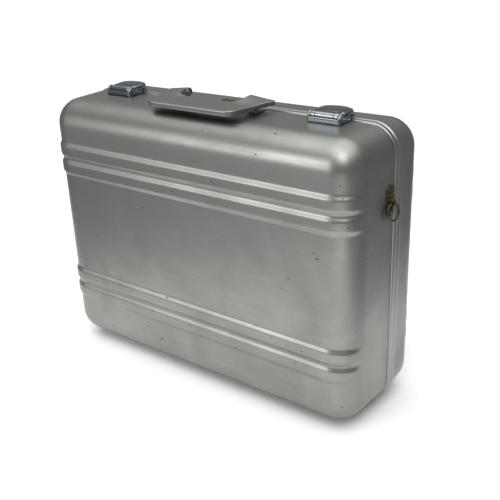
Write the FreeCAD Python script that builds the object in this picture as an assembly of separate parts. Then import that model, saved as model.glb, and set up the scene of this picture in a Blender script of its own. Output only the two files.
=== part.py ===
import FreeCAD, Part
import math
import os

# Hard shell suitcase of drawn aluminium, standing on its hinge edge.
# Millimetres, +Z up, +X along the long side, the deep shell (with the handle) towards -Y.
# Shapes are drawn in a local frame: y = 0 on the parting plane, z = 0 at mid height.

Vector = FreeCAD.Vector
X_AXIS = Vector(1, 0, 0)
Y_AXIS = Vector(0, 1, 0)
Z_AXIS = Vector(0, 0, 1)

# --- Case: driving sizes ---
WIDTH = 533.0
HEIGHT = 392.0
FRONT_DEPTH = 97.8
REAR_DEPTH = 83.6
EDGE_RADIUS = 38.0
DRAFT_DEG = 1.36
WALL = 1.6
SEAM = 1.5
FOOT_HEIGHT = 8.0
SEAT_GAP = 0.05

# --- Pressed ridges, in pairs, across both faces ---
RIDGE_RISE = 2.8
RIDGE_CURVE = 34.5
RIDGE_PITCH = 26.5
RIDGE_FROM_TOP = 89.0
RIDGE_FROM_BOTTOM = 97.0
RIDGE_END_FRONT = 2.2
RIDGE_END_REAR = 0.9
RIDGE_FADE_DEG = 8.0

# --- Frames and seal along the parting line ---
BAND_WIDTH = 19.0
BAND_PROUD = 1.8
BAND_WEB = 4.2
BAND_INNER = 8.0
BAND_GROOVE_WIDTH = 1.6
BAND_GROOVE_DEPTH = 0.9
TONGUE_INSET = 4.1
TONGUE_THICK = 2.0
TONGUE_REACH = 2.2
GROOVE_CLEAR = 0.9
GROOVE_DEPTH = 3.25
FRAME_LEG = 1.5
FRAME_DEPTH = 15.25
GASKET_RECESS = 0.6
GASKET_GAP = 0.3
LINING_THICK = 1.2
LINING_GAP = 0.2

# --- Hinges and feet on the bottom ---
HINGE_FROM_END = 116.5
HINGE_LENGTH = 60.0
KNUCKLE_RADIUS = 2.2
KNUCKLE_GAP = 0.4
HINGE_PIN_RADIUS = 1.0
HINGE_RUN = 0.05
HINGE_CLEAR = 0.4
LEAF_THICK = 1.2
LEAF_REACH = 18.0
FOOT_RADIUS = 10.0
FOOT_FROM_END = 81.5
FOOT_FROM_SEAM = 48.0

# --- Latches ---
LATCH_FROM_END = 86.0
LATCH_WIDTH = 48.0
LATCH_FRONT = 28.5
LATCH_REAR = 17.5
LATCH_WALL_HEIGHT = 8.5
LATCH_CHEEK = 3.5
LATCH_FLOOR = 1.5
LATCH_SEAM_GAP = 1.0
LATCH_PIVOT_BACK = 21.5
LATCH_ROLL_RADIUS = 4.8
LATCH_PIN_RADIUS = 1.5
LEVER_SIDE_GAP = 0.4
LEVER_LIFT = 0.9
LEVER_THICK = 5.2
LEVER_TAIL_THICK = 4.6
LEVER_ARCH = 9.5
HOOK_HALF_WIDTH = 9.0
HOOK_THICK = 2.6
HOOK_REACH = 12.0
HOOK_NOSE_GAP = 1.2
CHANNEL_CLEAR = 2.0
CHANNEL_FLOOR = 3.5

# --- Handle, folded forward on the case top ---
HANDLE_AXIS_BACK = 10.0
HANDLE_AXIS_UP = 13.0
HANDLE_HALF_FRONT = 73.0
HANDLE_HALF_REAR = 93.0
HANDLE_HALF_GAP = 54.5
HANDLE_FRONT = 79.0
HANDLE_GAP_START = 33.0
HANDLE_TAIL = 6.0
HANDLE_NOSE_RADIUS = 15.0
HANDLE_GAP_RADIUS = 8.0
HANDLE_TIP_RADIUS = 3.0
HANDLE_NOSE_TOP = 13.0
HANDLE_NOSE_UNDER = 7.5
HANDLE_REAR_TOP = 15.0
HANDLE_REAR_UNDER = 9.5
HUMP_RAMP = 32.0
HUMP_LENGTH = 12.0
BARREL_RADIUS = 7.0
BARREL_LENGTH = 18.0
BARREL_WALL = 1.0
BARREL_CHEEK = 3.6
LUG_THICK = 6.0
LUG_HALF_NECK = 3.4
LUG_RADIUS = 4.8
LUG_CLEAR = 1.2
HANDLE_PIN_RADIUS = 2.0
HANDLE_PIN_HEAD = 4.6
HANDLE_PIN_RECESS = 5.8
LINER_INSET = 4.0
LINER_THICK = 2.0
LINER_DROP = 0.2
BRACKET_THICK = 2.0
BRACKET_FRONT = 12.0
BRACKET_REAR = 8.5
SPRING_RADIUS = 3.2
SPRING_WIRE = 0.45

# --- Badge on the lid's band, behind the handle ---
BADGE_BACK = 12.5
BADGE_LENGTH = 24.0
BADGE_WIDTH = 9.0
BADGE_THICK = 2.0

# --- Strap rings on the side walls ---
STRAP_BACK = 10.5
STRAP_FROM_TOP = 70.0
STRAP_LENGTH = 42.0
STRAP_WIDTH = 18.0
STRAP_THICK = 1.5
BRIDGE_FROM_TOP = 93.0
BRIDGE_WIDTH = 5.0
BRIDGE_INNER = 5.6
BRIDGE_WALL = 1.1
BRIDGE_SINK = 0.3
RING_RADIUS = 11.2
RING_WIRE = 1.7
RING_STANDOFF = 4.2
RING_TILT_DEG = 8.0
RING_TWIST_DEG = 8.0
RIVET_RADIUS = 3.0
RIVET_HEAD = 1.2
RIVET_BRIM = 1.0

# --- Worked out ---
TAPER = math.tan(math.radians(DRAFT_DEG))
PARTING_Y = (FRONT_DEPTH - REAR_DEPTH) / 2
MID_Z = FOOT_HEIGHT + HEIGHT / 2
TOP = HEIGHT / 2
HALF_SEAM = SEAM / 2
HINGE_DROP = BAND_PROUD + KNUCKLE_RADIUS + HINGE_CLEAR
FRAME_INNER = TONGUE_INSET + TONGUE_THICK + GROOVE_CLEAR + FRAME_LEG
EPS = 1.0
HINGE_X = WIDTH / 2 - HINGE_FROM_END
FOOT_X = WIDTH / 2 - FOOT_FROM_END
LATCH_X = WIDTH / 2 - LATCH_FROM_END
LEVER_UNDER = LATCH_WALL_HEIGHT + LEVER_LIFT
STRAP_TOP = TOP - STRAP_FROM_TOP
STRAP_BOTTOM = STRAP_TOP - STRAP_LENGTH
BRIDGE_Z = TOP - BRIDGE_FROM_TOP


# ---------------------------------------------------------------- helpers
def box(x0, x1, y0, y1, z0, z1):
    """Box between two corners."""
    return Part.makeBox(x1 - x0, y1 - y0, z1 - z0, Vector(x0, y0, z0))


def rod(x0, x1, y, z, radius):
    """Round bar along X."""
    return Part.makeCylinder(radius, x1 - x0, Vector(x0, y, z), X_AXIS)


def polygon(points):
    """Closed wire through points."""
    return Part.makePolygon([Vector(*p) for p in points] + [Vector(*points[0])])


def fuse(shapes):
    """One solid out of several that touch or overlap."""
    first = shapes[0]
    return first.multiFuse(shapes[1:]).removeSplitter()


def mirror_x(shape):
    return shape.mirror(Vector(0, 0, 0), X_AXIS)


def mirror_y(shape):
    return shape.mirror(Vector(0, 0, 0), Y_AXIS)


def both_sides(shape):
    """The shape and its mirror image, as separate solids."""
    return Part.makeCompound([shape, mirror_x(shape)])


# ---------------------------------------------------------------- drawn shells
def section_wire(inset, depth):
    """Rectangle of the tapered case at a depth in front of the parting plane."""
    half_x = WIDTH / 2 - inset - depth * TAPER
    half_z = HEIGHT / 2 - inset - depth * TAPER
    corners = [(-half_x, -half_z), (half_x, -half_z), (half_x, half_z), (-half_x, half_z)]
    return polygon([(x, -depth, z) for x, z in corners])


def tapered_block(inset, start, end, rounded_face):
    """Tapered case form between two depths, its long corners (and face edges) rounded."""
    block = Part.makeLoft([section_wire(inset, start), section_wire(inset, end)], True, True)
    edges = []
    for edge in block.Edges:
        ys = [v.Point.y for v in edge.Vertexes]
        along = abs(ys[0] - ys[1]) > EPS / 2
        on_face = max(ys) < -end + 0.01
        if along or (rounded_face and on_face):
            edges.append(edge)
    return block.makeFillet(EDGE_RADIUS - inset, edges)


def ridge(z_mid, inset, depth, end_rise):
    """One pressed ridge: straight over the face, round both edges, fading into the walls."""
    curve = RIDGE_CURVE - inset
    crest = EDGE_RADIUS + RIDGE_RISE - inset
    chord = EDGE_RADIUS - inset - EPS
    half = math.sqrt(curve ** 2 - (curve - (crest - chord)) ** 2)
    centre_y = -(depth - EDGE_RADIUS)
    wall_x = WIDTH / 2 - (depth - EDGE_RADIUS) * TAPER
    centre_x = wall_x + end_rise - EDGE_RADIUS - RIDGE_RISE
    low = Vector(0, centre_y - chord, z_mid - half)
    high = Vector(0, centre_y - chord, z_mid + half)
    top = Vector(0, centre_y - crest, z_mid)
    face = Part.Face(Part.Wire([Part.Arc(low, top, high).toShape(), Part.makeLine(high, low)]))
    straight = face.extrude(Vector(centre_x, 0, 0))
    turning = face.translated(Vector(centre_x, 0, 0))
    sweep = 90.0 + RIDGE_FADE_DEG
    bend = turning.revolve(Vector(centre_x, centre_y, 0), Z_AXIS, sweep)
    ending = turning.rotated(Vector(centre_x, centre_y, 0), Z_AXIS, sweep)
    fade = math.radians(RIDGE_FADE_DEG)
    run = min(depth - EDGE_RADIUS - 2.0, (end_rise + EPS + 1.0) / math.tan(fade))
    tail = ending.extrude(Vector(-run * math.sin(fade), run * math.cos(fade), 0))
    half_ridge = fuse([straight, bend, tail])
    return fuse([half_ridge, mirror_x(half_ridge)])


def drawn_form(inset, start, depth, end_rise):
    """Solid of the drawn shell's surface, moved inwards by inset, with its ridges."""
    form = tapered_block(inset, start, depth - inset, True)
    ridges = []
    for pair_z in (TOP - RIDGE_FROM_TOP, RIDGE_FROM_BOTTOM - TOP):
        for step in (-0.5, 0.5):
            ridges.append(ridge(pair_z + step * RIDGE_PITCH, inset, depth, end_rise))
    return form.multiFuse(ridges)


def shell(start, depth, end_rise):
    """Drawn aluminium shell of even wall, open at the parting plane."""
    outer = drawn_form(0.0, start, depth, end_rise)
    inner = drawn_form(WALL, start - EPS, depth, end_rise)
    return outer.cut(inner)


def outline_prism(inset, start, end, lean=0.0):
    """Straight prism of the case outline, moved inwards by inset, between two depths.

    The lean is how far the tapered wall has come in at that depth; it leaves the corners as they are.
    """
    half_x = WIDTH / 2 - inset - lean
    half_z = HEIGHT / 2 - inset - lean
    block = box(-half_x, half_x, -end, -start, -half_z, half_z)
    corners = [edge for edge in block.Edges if abs(edge.Vertexes[0].Point.y - edge.Vertexes[1].Point.y) > 0.1]
    return block.makeFillet(EDGE_RADIUS - inset, corners)


def ring_frame(outer_inset, inner_inset, start, end):
    """Extruded frame that follows the outline, between two insets and two depths."""
    return outline_prism(outer_inset, start, end).cut(outline_prism(inner_inset, start - EPS, end + EPS))


def lining(start, depth):
    """Moulded fabric-covered liner inside a shell."""
    inset = WALL + LINING_GAP
    outer = tapered_block(inset, start, depth - inset, True)
    inset += LINING_THICK
    inner = tapered_block(inset, start - EPS, depth - inset, True)
    return outer.cut(inner)


FRONT_FORM = tapered_block(0.0, -EPS, FRONT_DEPTH, True)
REAR_FORM = mirror_y(tapered_block(0.0, -EPS, REAR_DEPTH, True))
BAND_FORM = mirror_y(outline_prism(-BAND_PROUD, -EPS, BAND_WIDTH))


def seated(shape, *forms):
    """Shape cut back so that it lies on the case."""
    for form in forms:
        shape = shape.cut(form)
    return shape


# ---------------------------------------------------------------- frames and seal
def lid_frame():
    """Extrusion on the lid's rim: ridged outer band, web and closing tongue."""
    band = ring_frame(-BAND_PROUD, BAND_INNER, HALF_SEAM, BAND_WIDTH)
    seat = outline_prism(-SEAT_GAP, HALF_SEAM + BAND_WEB, BAND_WIDTH + EPS)
    middle = (HALF_SEAM + BAND_WIDTH) / 2
    half = BAND_GROOVE_WIDTH / 2
    inset = BAND_GROOVE_DEPTH - BAND_PROUD
    line = ring_frame(-BAND_PROUD - EPS, inset, middle - half, middle + half)
    body = mirror_y(band.cut(seat).cut(line))
    inner = TONGUE_INSET + TONGUE_THICK
    tongue = ring_frame(TONGUE_INSET, inner, -HALF_SEAM, TONGUE_REACH)
    return fuse([body, tongue])


def body_frame():
    """Extrusion inside the body's rim, with the groove that takes the tongue."""
    end = HALF_SEAM + FRAME_DEPTH
    frame = outline_prism(WALL + SEAT_GAP, HALF_SEAM, end, end * TAPER)
    frame = frame.cut(outline_prism(FRAME_INNER, HALF_SEAM - EPS, end + EPS))
    outer = TONGUE_INSET - GROOVE_CLEAR
    inner = TONGUE_INSET + TONGUE_THICK + GROOVE_CLEAR
    groove = ring_frame(outer, inner, -EPS, HALF_SEAM + GROOVE_DEPTH)
    return frame.cut(groove)


def gasket():
    """Black rubber strip on the body's rim, seen as the dark seam."""
    inner = TONGUE_INSET - GROOVE_CLEAR - 0.2
    return ring_frame(GASKET_RECESS, inner, GASKET_GAP - HALF_SEAM, HALF_SEAM)


# ---------------------------------------------------------------- feet and hinges
def foot(y, form):
    """Rubber stud under the case, its top shaped to the wall."""
    base = -TOP - FOOT_HEIGHT
    stud = Part.makeCone(FOOT_RADIUS - 1.0, FOOT_RADIUS, FOOT_HEIGHT + 4.0, Vector(FOOT_X, y, base))
    return both_sides(seated(stud, form))


def knuckle(x0, x1, bore):
    axis_z = -TOP - HINGE_DROP
    outer = rod(x0, x1, 0, axis_z, KNUCKLE_RADIUS)
    return outer, rod(x0 - EPS, x1 + EPS, 0, axis_z, bore)


def hinge_spans():
    """X ranges of the three knuckles of a hinge: body, lid, body."""
    third = HINGE_LENGTH / 3
    start = HINGE_X - HINGE_LENGTH / 2
    gap = KNUCKLE_GAP / 2
    return [(start + i * third + gap, start + (i + 1) * third - gap) for i in range(3)]


def body_hinge():
    """Leaf under the body with the two outer knuckles."""
    spans = hinge_spans()
    under = -TOP - LEAF_THICK
    plate = box(spans[0][0], spans[2][1], -LEAF_REACH - 4.0, -3.4, under, -TOP + 3.0)
    pieces = [plate]
    bores = []
    for x0, x1 in (spans[0], spans[2]):
        roll, bore = knuckle(x0, x1, HINGE_PIN_RADIUS + HINGE_RUN / 2)
        web = box(x0, x1, -5.0, -0.9, -TOP - HINGE_DROP + 1.2, -TOP + 1.0)
        pieces += [web, roll]
        bores.append(bore)
    leaf = fuse(pieces)
    for bore in bores:
        leaf = leaf.cut(bore)
    return both_sides(seated(leaf, FRONT_FORM))


def lid_hinge():
    """Leaf under the lid's band with the middle knuckle."""
    spans = hinge_spans()
    top = -TOP - BAND_PROUD + 1.0
    under = -TOP - BAND_PROUD - LEAF_THICK
    plate = box(spans[0][0], spans[2][1], KNUCKLE_RADIUS + HINGE_CLEAR, LEAF_REACH, under, top)
    x0, x1 = spans[1]
    roll, bore = knuckle(x0, x1, HINGE_PIN_RADIUS + HINGE_RUN)
    web = box(x0, x1, 0.9, 4.0, under, top)
    leaf = fuse([plate, web, roll]).cut(bore)
    return both_sides(seated(leaf, BAND_FORM))


def hinge_pins():
    spans = hinge_spans()
    pin = rod(spans[0][0], spans[2][1], 0, -TOP - HINGE_DROP, HINGE_PIN_RADIUS)
    return both_sides(pin)


# ---------------------------------------------------------------- latches
def lever_plan(grow, z0, z1):
    """Upright prism of the lever's outline: straight front, arched rear."""
    half = LATCH_WIDTH / 2 - 1.5 + grow
    narrow = LATCH_WIDTH / 2 - LATCH_CHEEK - LEVER_SIDE_GAP + grow
    step_y = -LATCH_PIVOT_BACK + LATCH_ROLL_RADIUS + 1.2
    rear = LATCH_REAR + grow
    side_y = rear - LEVER_ARCH
    front = -LATCH_FRONT
    left = [Vector(-half, side_y, z0), Vector(-half, step_y, z0), Vector(-narrow, step_y, z0),
            Vector(-narrow, front, z0)]
    right = [Vector(-p.x, p.y, z0) for p in reversed(left)]
    arch = Part.Arc(right[-1], Vector(0, rear, z0), left[0]).toShape()
    wire = Part.Wire([Part.makePolygon(left + right), arch])
    return Part.Face(wire).extrude(Vector(0, 0, z1 - z0))


def at_latch(shape):
    return shape.translated(Vector(LATCH_X, 0, TOP))


def latch_base():
    """Chromed base on the body: floor, front wall and two cheeks that hold the pivot."""
    half = LATCH_WIDTH / 2
    inner = half - LATCH_CHEEK
    block = box(-half, half, -LATCH_FRONT, -LATCH_SEAM_GAP, -4.0, LATCH_WALL_HEIGHT)
    pocket = box(-inner, inner, -LATCH_FRONT + 1.8, EPS, LATCH_FLOOR, 30.0)
    boss = rod(-half, half, -LATCH_PIVOT_BACK, LATCH_WALL_HEIGHT, LATCH_ROLL_RADIUS - 0.2)
    bore = rod(-half - EPS, half + EPS, -LATCH_PIVOT_BACK, LATCH_WALL_HEIGHT, LATCH_PIN_RADIUS + 0.02)
    base = fuse([block, boss]).cut(pocket).cut(bore)
    return seated(at_latch(base), FRONT_FORM)


def latch_strike():
    """Chromed keeper on the lid's band, with an open channel for the hook."""
    half = LATCH_WIDTH / 2
    block = box(-half, half, LATCH_SEAM_GAP, LATCH_REAR, -4.0, LATCH_WALL_HEIGHT)
    wide = HOOK_HALF_WIDTH + CHANNEL_CLEAR
    channel = box(-wide, wide, -EPS, LATCH_REAR + EPS, CHANNEL_FLOOR, 30.0)
    outline = lever_plan(1.0, -6.0, 30.0)
    keeper = block.common(outline).cut(channel)
    return seated(at_latch(keeper), BAND_FORM, REAR_FORM)


def latch_lever():
    """Flip-up cover: a roll round the pivot and a crowned plate with an arched rear."""
    half = LATCH_WIDTH / 2
    pivot_z = LATCH_WALL_HEIGHT
    top_z = pivot_z + LATCH_ROLL_RADIUS
    side = [(-half, -LATCH_PIVOT_BACK, top_z), (-half, -4.0, LEVER_UNDER + LEVER_THICK),
            (-half, LATCH_REAR, LEVER_UNDER + LEVER_TAIL_THICK), (-half, LATCH_REAR, LEVER_UNDER),
            (-half, -LATCH_PIVOT_BACK, LEVER_UNDER)]
    plate = Part.Face(polygon(side)).extrude(Vector(LATCH_WIDTH, 0, 0))
    roll = rod(-half, half, -LATCH_PIVOT_BACK, pivot_z, LATCH_ROLL_RADIUS)
    bore = rod(-half - EPS, half + EPS, -LATCH_PIVOT_BACK, pivot_z, LATCH_PIN_RADIUS + 0.05)
    lever = fuse([plate, roll]).common(lever_plan(0.0, -5.0, 30.0)).cut(bore)
    return at_latch(lever)


def latch_hook():
    """Steel hook riveted under the lever, with a nose over the keeper."""
    top = LEVER_UNDER - SEAT_GAP
    under = top - HOOK_THICK
    blade = box(-HOOK_HALF_WIDTH, HOOK_HALF_WIDTH, -15.0, HOOK_REACH, under, top)
    nose_z = CHANNEL_FLOOR + HOOK_NOSE_GAP
    nose = box(-HOOK_HALF_WIDTH, HOOK_HALF_WIDTH, HOOK_REACH - 3.0, HOOK_REACH, nose_z, top)
    return at_latch(fuse([blade, nose]))


def latch_pins():
    half = LATCH_WIDTH / 2
    pin = rod(-half, half, -LATCH_PIVOT_BACK, LATCH_WALL_HEIGHT, LATCH_PIN_RADIUS)
    return both_sides(at_latch(pin))


# ---------------------------------------------------------------- handle
AXIS_Y = -HANDLE_AXIS_BACK
AXIS_Z = TOP + HANDLE_AXIS_UP
TAIL_Y = AXIS_Y + HANDLE_TAIL
BARREL_X0 = HANDLE_HALF_GAP
BARREL_X1 = BARREL_X0 + BARREL_LENGTH
LUG_X0 = BARREL_X0 + BARREL_CHEEK + 0.4


def grip_side(y, inset):
    """Half width of the grip at a place y, moved inwards."""
    slope = (HANDLE_HALF_REAR - HANDLE_HALF_FRONT) / (TAIL_Y + HANDLE_FRONT)
    return HANDLE_HALF_FRONT + (y + HANDLE_FRONT) * slope - inset


def grip_plan(corners):
    """Upright prism over a plan given as (x, y, corner radius) for the right half."""
    right = [Vector(x, y, TOP) for x, y, _ in corners]
    left = [Vector(-p.x, p.y, p.z) for p in reversed(right)]
    prism = Part.Face(Part.makePolygon(right + left + [right[0]])).extrude(Vector(0, 0, 3 * HANDLE_AXIS_UP))
    for x, y, radius in corners:
        edges = []
        for edge in prism.Edges:
            ends = [v.Point for v in edge.Vertexes]
            upright = len(ends) == 2 and abs(ends[0].x - ends[1].x) + abs(ends[0].y - ends[1].y) < 0.01
            if upright and abs(abs(ends[0].x) - x) + abs(ends[0].y - y) < 0.01:
                edges.append(edge)
        prism = prism.makeFillet(radius, edges)
    return prism


def grip_layer(under_front, under_rear, top_front, top_rear):
    """Side view of the grip between two heights above the case, carried across its width."""
    reach = HANDLE_HALF_REAR + EPS
    side = [(-reach, -HANDLE_FRONT, TOP + under_front), (-reach, TAIL_Y, TOP + under_rear),
            (-reach, TAIL_Y, TOP + top_rear), (-reach, -HANDLE_FRONT, TOP + top_front)]
    return Part.Face(polygon(side)).extrude(Vector(2 * reach, 0, 0))


def hump_section(x, peak):
    """Side view of the rise over a hinge barrel, at a place x."""
    foot_y = AXIS_Y - HUMP_RAMP
    low = TOP + HANDLE_NOSE_TOP - 2.0
    flat = BARREL_RADIUS / 2
    return polygon([(x, foot_y, low), (x, AXIS_Y - flat, peak), (x, AXIS_Y + flat, peak),
                    (x, TAIL_Y, peak - 3.0), (x, TAIL_Y, low)])


def handle_arm():
    """Hinge end of the grip: a rise that falls away to the side, and the barrel in it."""
    peak = AXIS_Z + BARREL_RADIUS * math.cos(math.radians(30))
    outer_x = HANDLE_HALF_REAR - 6.0
    sections = [hump_section(BARREL_X0, peak), hump_section(BARREL_X0 + HUMP_LENGTH, peak),
                hump_section(outer_x, TOP + HANDLE_REAR_TOP + 0.4)]
    rise = Part.makeLoft(sections, True, True)
    barrel = rod(BARREL_X0, BARREL_X1, AXIS_Y, AXIS_Z, BARREL_RADIUS)
    return fuse([rise, barrel])


def handle_grip():
    """Cast grip: a broad plate in front, and two arms that rise to the hinge barrels."""
    corners = [(HANDLE_HALF_FRONT, -HANDLE_FRONT, HANDLE_NOSE_RADIUS),
               (HANDLE_HALF_REAR, TAIL_Y, HANDLE_TIP_RADIUS),
               (HANDLE_HALF_GAP, TAIL_Y, 0.5),
               (HANDLE_HALF_GAP, -HANDLE_GAP_START, HANDLE_GAP_RADIUS)]
    layer = grip_layer(HANDLE_NOSE_UNDER, HANDLE_REAR_UNDER, HANDLE_NOSE_TOP, HANDLE_REAR_TOP)
    plate = grip_plan(corners).common(layer)
    arm = handle_arm()
    grip = fuse([plate, arm, mirror_x(arm)])
    x0 = BARREL_X0 + BARREL_CHEEK
    x1 = BARREL_X1 - BARREL_CHEEK + 0.6
    neck_y = AXIS_Y - LUG_HALF_NECK - LUG_CLEAR
    bore = rod(0, BARREL_X1 + EPS, AXIS_Y, AXIS_Z, HANDLE_PIN_RADIUS + 0.05)
    cuts = [rod(x0, x1, AXIS_Y, AXIS_Z, BARREL_RADIUS - BARREL_WALL),
            box(x0, x1, neck_y, EPS, TOP, AXIS_Z),
            box(x0, x1, AXIS_Y + 1.0, EPS, TOP, AXIS_Z + LUG_HALF_NECK + LUG_CLEAR),
            bore, rod(0, BARREL_X0 + 1.6, AXIS_Y, AXIS_Z, HANDLE_PIN_RECESS)]
    for cut in cuts:
        grip = grip.cut(cut).cut(mirror_x(cut))
    return grip


def handle_liner():
    """Under plate of the grip, a little smaller than the casting."""
    near = -HANDLE_FRONT + LINER_INSET
    far = -HANDLE_GAP_START - LINER_INSET
    corners = [(grip_side(near, LINER_INSET), near, HANDLE_NOSE_RADIUS - LINER_INSET),
               (grip_side(far, LINER_INSET), far, HANDLE_TIP_RADIUS)]
    top_front = HANDLE_NOSE_UNDER - LINER_DROP
    top_rear = HANDLE_REAR_UNDER - LINER_DROP
    layer = grip_layer(top_front - LINER_THICK, top_rear - LINER_THICK, top_front, top_rear)
    return grip_plan(corners).common(layer)


def handle_bracket():
    """Bracket riveted on the case top, with the lug that carries one end of the handle."""
    plate = box(BARREL_X0 + 1.0, BARREL_X1 + 3.0, AXIS_Y - BRACKET_FRONT, AXIS_Y + BRACKET_REAR,
                TOP - 3.0, TOP + BRACKET_THICK)
    neck = box(LUG_X0, LUG_X0 + LUG_THICK, AXIS_Y - LUG_HALF_NECK, AXIS_Y + LUG_HALF_NECK,
               TOP - 2.0, AXIS_Z)
    eye = rod(LUG_X0, LUG_X0 + LUG_THICK, AXIS_Y, AXIS_Z, LUG_RADIUS)
    bore = rod(LUG_X0 - EPS, LUG_X0 + LUG_THICK + EPS, AXIS_Y, AXIS_Z, HANDLE_PIN_RADIUS + 0.02)
    return seated(fuse([plate, neck, eye]).cut(bore), FRONT_FORM)


def handle_pins():
    """Chromed pivot pins, each with a domed head at the inner end of its barrel."""
    shank = rod(BARREL_X0 + 1.0, BARREL_X1 - 0.5, AXIS_Y, AXIS_Z, HANDLE_PIN_RADIUS)
    head = rod(BARREL_X0 + 0.2, BARREL_X0 + 1.6, AXIS_Y, AXIS_Z, HANDLE_PIN_HEAD)
    dome_radius = HANDLE_PIN_HEAD * 1.4
    rise = dome_radius - math.sqrt(dome_radius ** 2 - HANDLE_PIN_HEAD ** 2)
    ball = Part.makeSphere(dome_radius, Vector(BARREL_X0 + 0.2 - rise + dome_radius, AXIS_Y, AXIS_Z))
    reach = HANDLE_PIN_HEAD + EPS
    corner = Vector(BARREL_X0 + 0.5 - reach, AXIS_Y - reach, AXIS_Z - reach)
    front = Part.makeBox(reach, 2 * reach, 2 * reach, corner)
    return both_sides(fuse([shank, head, ball.common(front)]))


def handle_springs():
    """Coils round the pins that fold the handle down."""
    x0 = LUG_X0 + LUG_THICK + SPRING_WIRE + 0.3
    turns_length = BARREL_X1 - BARREL_CHEEK - x0 - SPRING_WIRE
    helix = Part.makeHelix(turns_length / 3, turns_length, SPRING_RADIUS)
    ring = Part.Wire(Part.makeCircle(SPRING_WIRE, Vector(SPRING_RADIUS, 0, 0), Y_AXIS))
    coil = Part.Wire(helix.Edges).makePipeShell([ring], True, True)
    coil.rotate(Vector(0, 0, 0), Y_AXIS, 90)
    coil.translate(Vector(x0, AXIS_Y, AXIS_Z))
    return both_sides(Part.makeSolid(coil) if coil.ShapeType == "Shell" else coil)


def badge_plate():
    """Blank oval badge riveted on the lid's band, on the centre line."""
    radius = BADGE_WIDTH / 2
    end = BADGE_LENGTH / 2 - radius
    under = TOP + BAND_PROUD - EPS
    height = BADGE_THICK + EPS
    ends = [Part.makeCylinder(radius, height, Vector(x, BADGE_BACK, under)) for x in (-end, end)]
    middle = box(-end, end, BADGE_BACK - radius, BADGE_BACK + radius, under, under + height)
    return seated(fuse(ends + [middle]), BAND_FORM)


# ---------------------------------------------------------------- strap rings
SIDE_X = WIDTH / 2
SEAM_SIDE_X = SIDE_X - STRAP_BACK * TAPER
PLATE_OUT = SEAM_SIDE_X + STRAP_THICK


def strap_plate():
    """Oblong plate on the side wall with a bridge for the ring."""
    radius = STRAP_WIDTH / 2
    low = STRAP_BOTTOM + radius
    high = STRAP_TOP - radius
    start = SIDE_X - 4.0
    length = PLATE_OUT - start
    ends = [Part.makeCylinder(radius, length, Vector(start, -STRAP_BACK, z), X_AXIS) for z in (low, high)]
    middle = box(start, PLATE_OUT, -STRAP_BACK - radius, -STRAP_BACK + radius, low, high)
    plate = fuse(ends + [middle])
    y0 = -STRAP_BACK - BRIDGE_WIDTH / 2
    centre = Vector(PLATE_OUT - BRIDGE_SINK, y0, BRIDGE_Z)
    arch = Part.makeCylinder(BRIDGE_INNER + BRIDGE_WALL, BRIDGE_WIDTH, centre, Y_AXIS)
    arch = arch.common(box(start, SIDE_X + 20, y0 - EPS, y0 + BRIDGE_WIDTH + EPS, 60, 140))
    hole = Part.makeCylinder(BRIDGE_INNER, BRIDGE_WIDTH + 2 * EPS, centre - Vector(0, EPS, 0), Y_AXIS)
    hole = hole.common(box(PLATE_OUT, SIDE_X + 20, y0 - 2 * EPS, y0 + BRIDGE_WIDTH + 2 * EPS, 60, 140))
    return seated(fuse([plate, arch]).cut(hole), FRONT_FORM)


def strap_rivets():
    """Domed rivets, two to a plate."""
    heads = []
    seat = PLATE_OUT + SEAT_GAP
    for z in (STRAP_TOP - STRAP_WIDTH / 2, STRAP_BOTTOM + STRAP_WIDTH / 2):
        ball_radius = (RIVET_RADIUS ** 2 + RIVET_HEAD ** 2) / (2 * RIVET_HEAD)
        crown = seat + RIVET_BRIM + RIVET_HEAD
        ball = Part.makeSphere(ball_radius, Vector(crown - ball_radius, -STRAP_BACK, z))
        brim = Part.makeCylinder(RIVET_RADIUS, RIVET_BRIM, Vector(seat, -STRAP_BACK, z), X_AXIS)
        over = box(seat + RIVET_BRIM, SIDE_X + 20, -STRAP_BACK - 9, -STRAP_BACK + 9, z - 9, z + 9)
        cap = fuse([brim, ball.common(over)])
        heads += [cap, mirror_x(cap)]
    return Part.makeCompound(heads)


def strap_ring():
    """Wire ring hanging from the bridge."""
    pivot = Vector(SEAM_SIDE_X + RING_STANDOFF, -STRAP_BACK, BRIDGE_Z)
    ring = Part.makeTorus(RING_RADIUS, RING_WIRE, pivot - Vector(0, 0, RING_RADIUS), X_AXIS)
    ring.rotate(pivot, Y_AXIS, -RING_TILT_DEG)
    ring.rotate(pivot, Z_AXIS, -RING_TWIST_DEG)
    return ring


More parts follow.
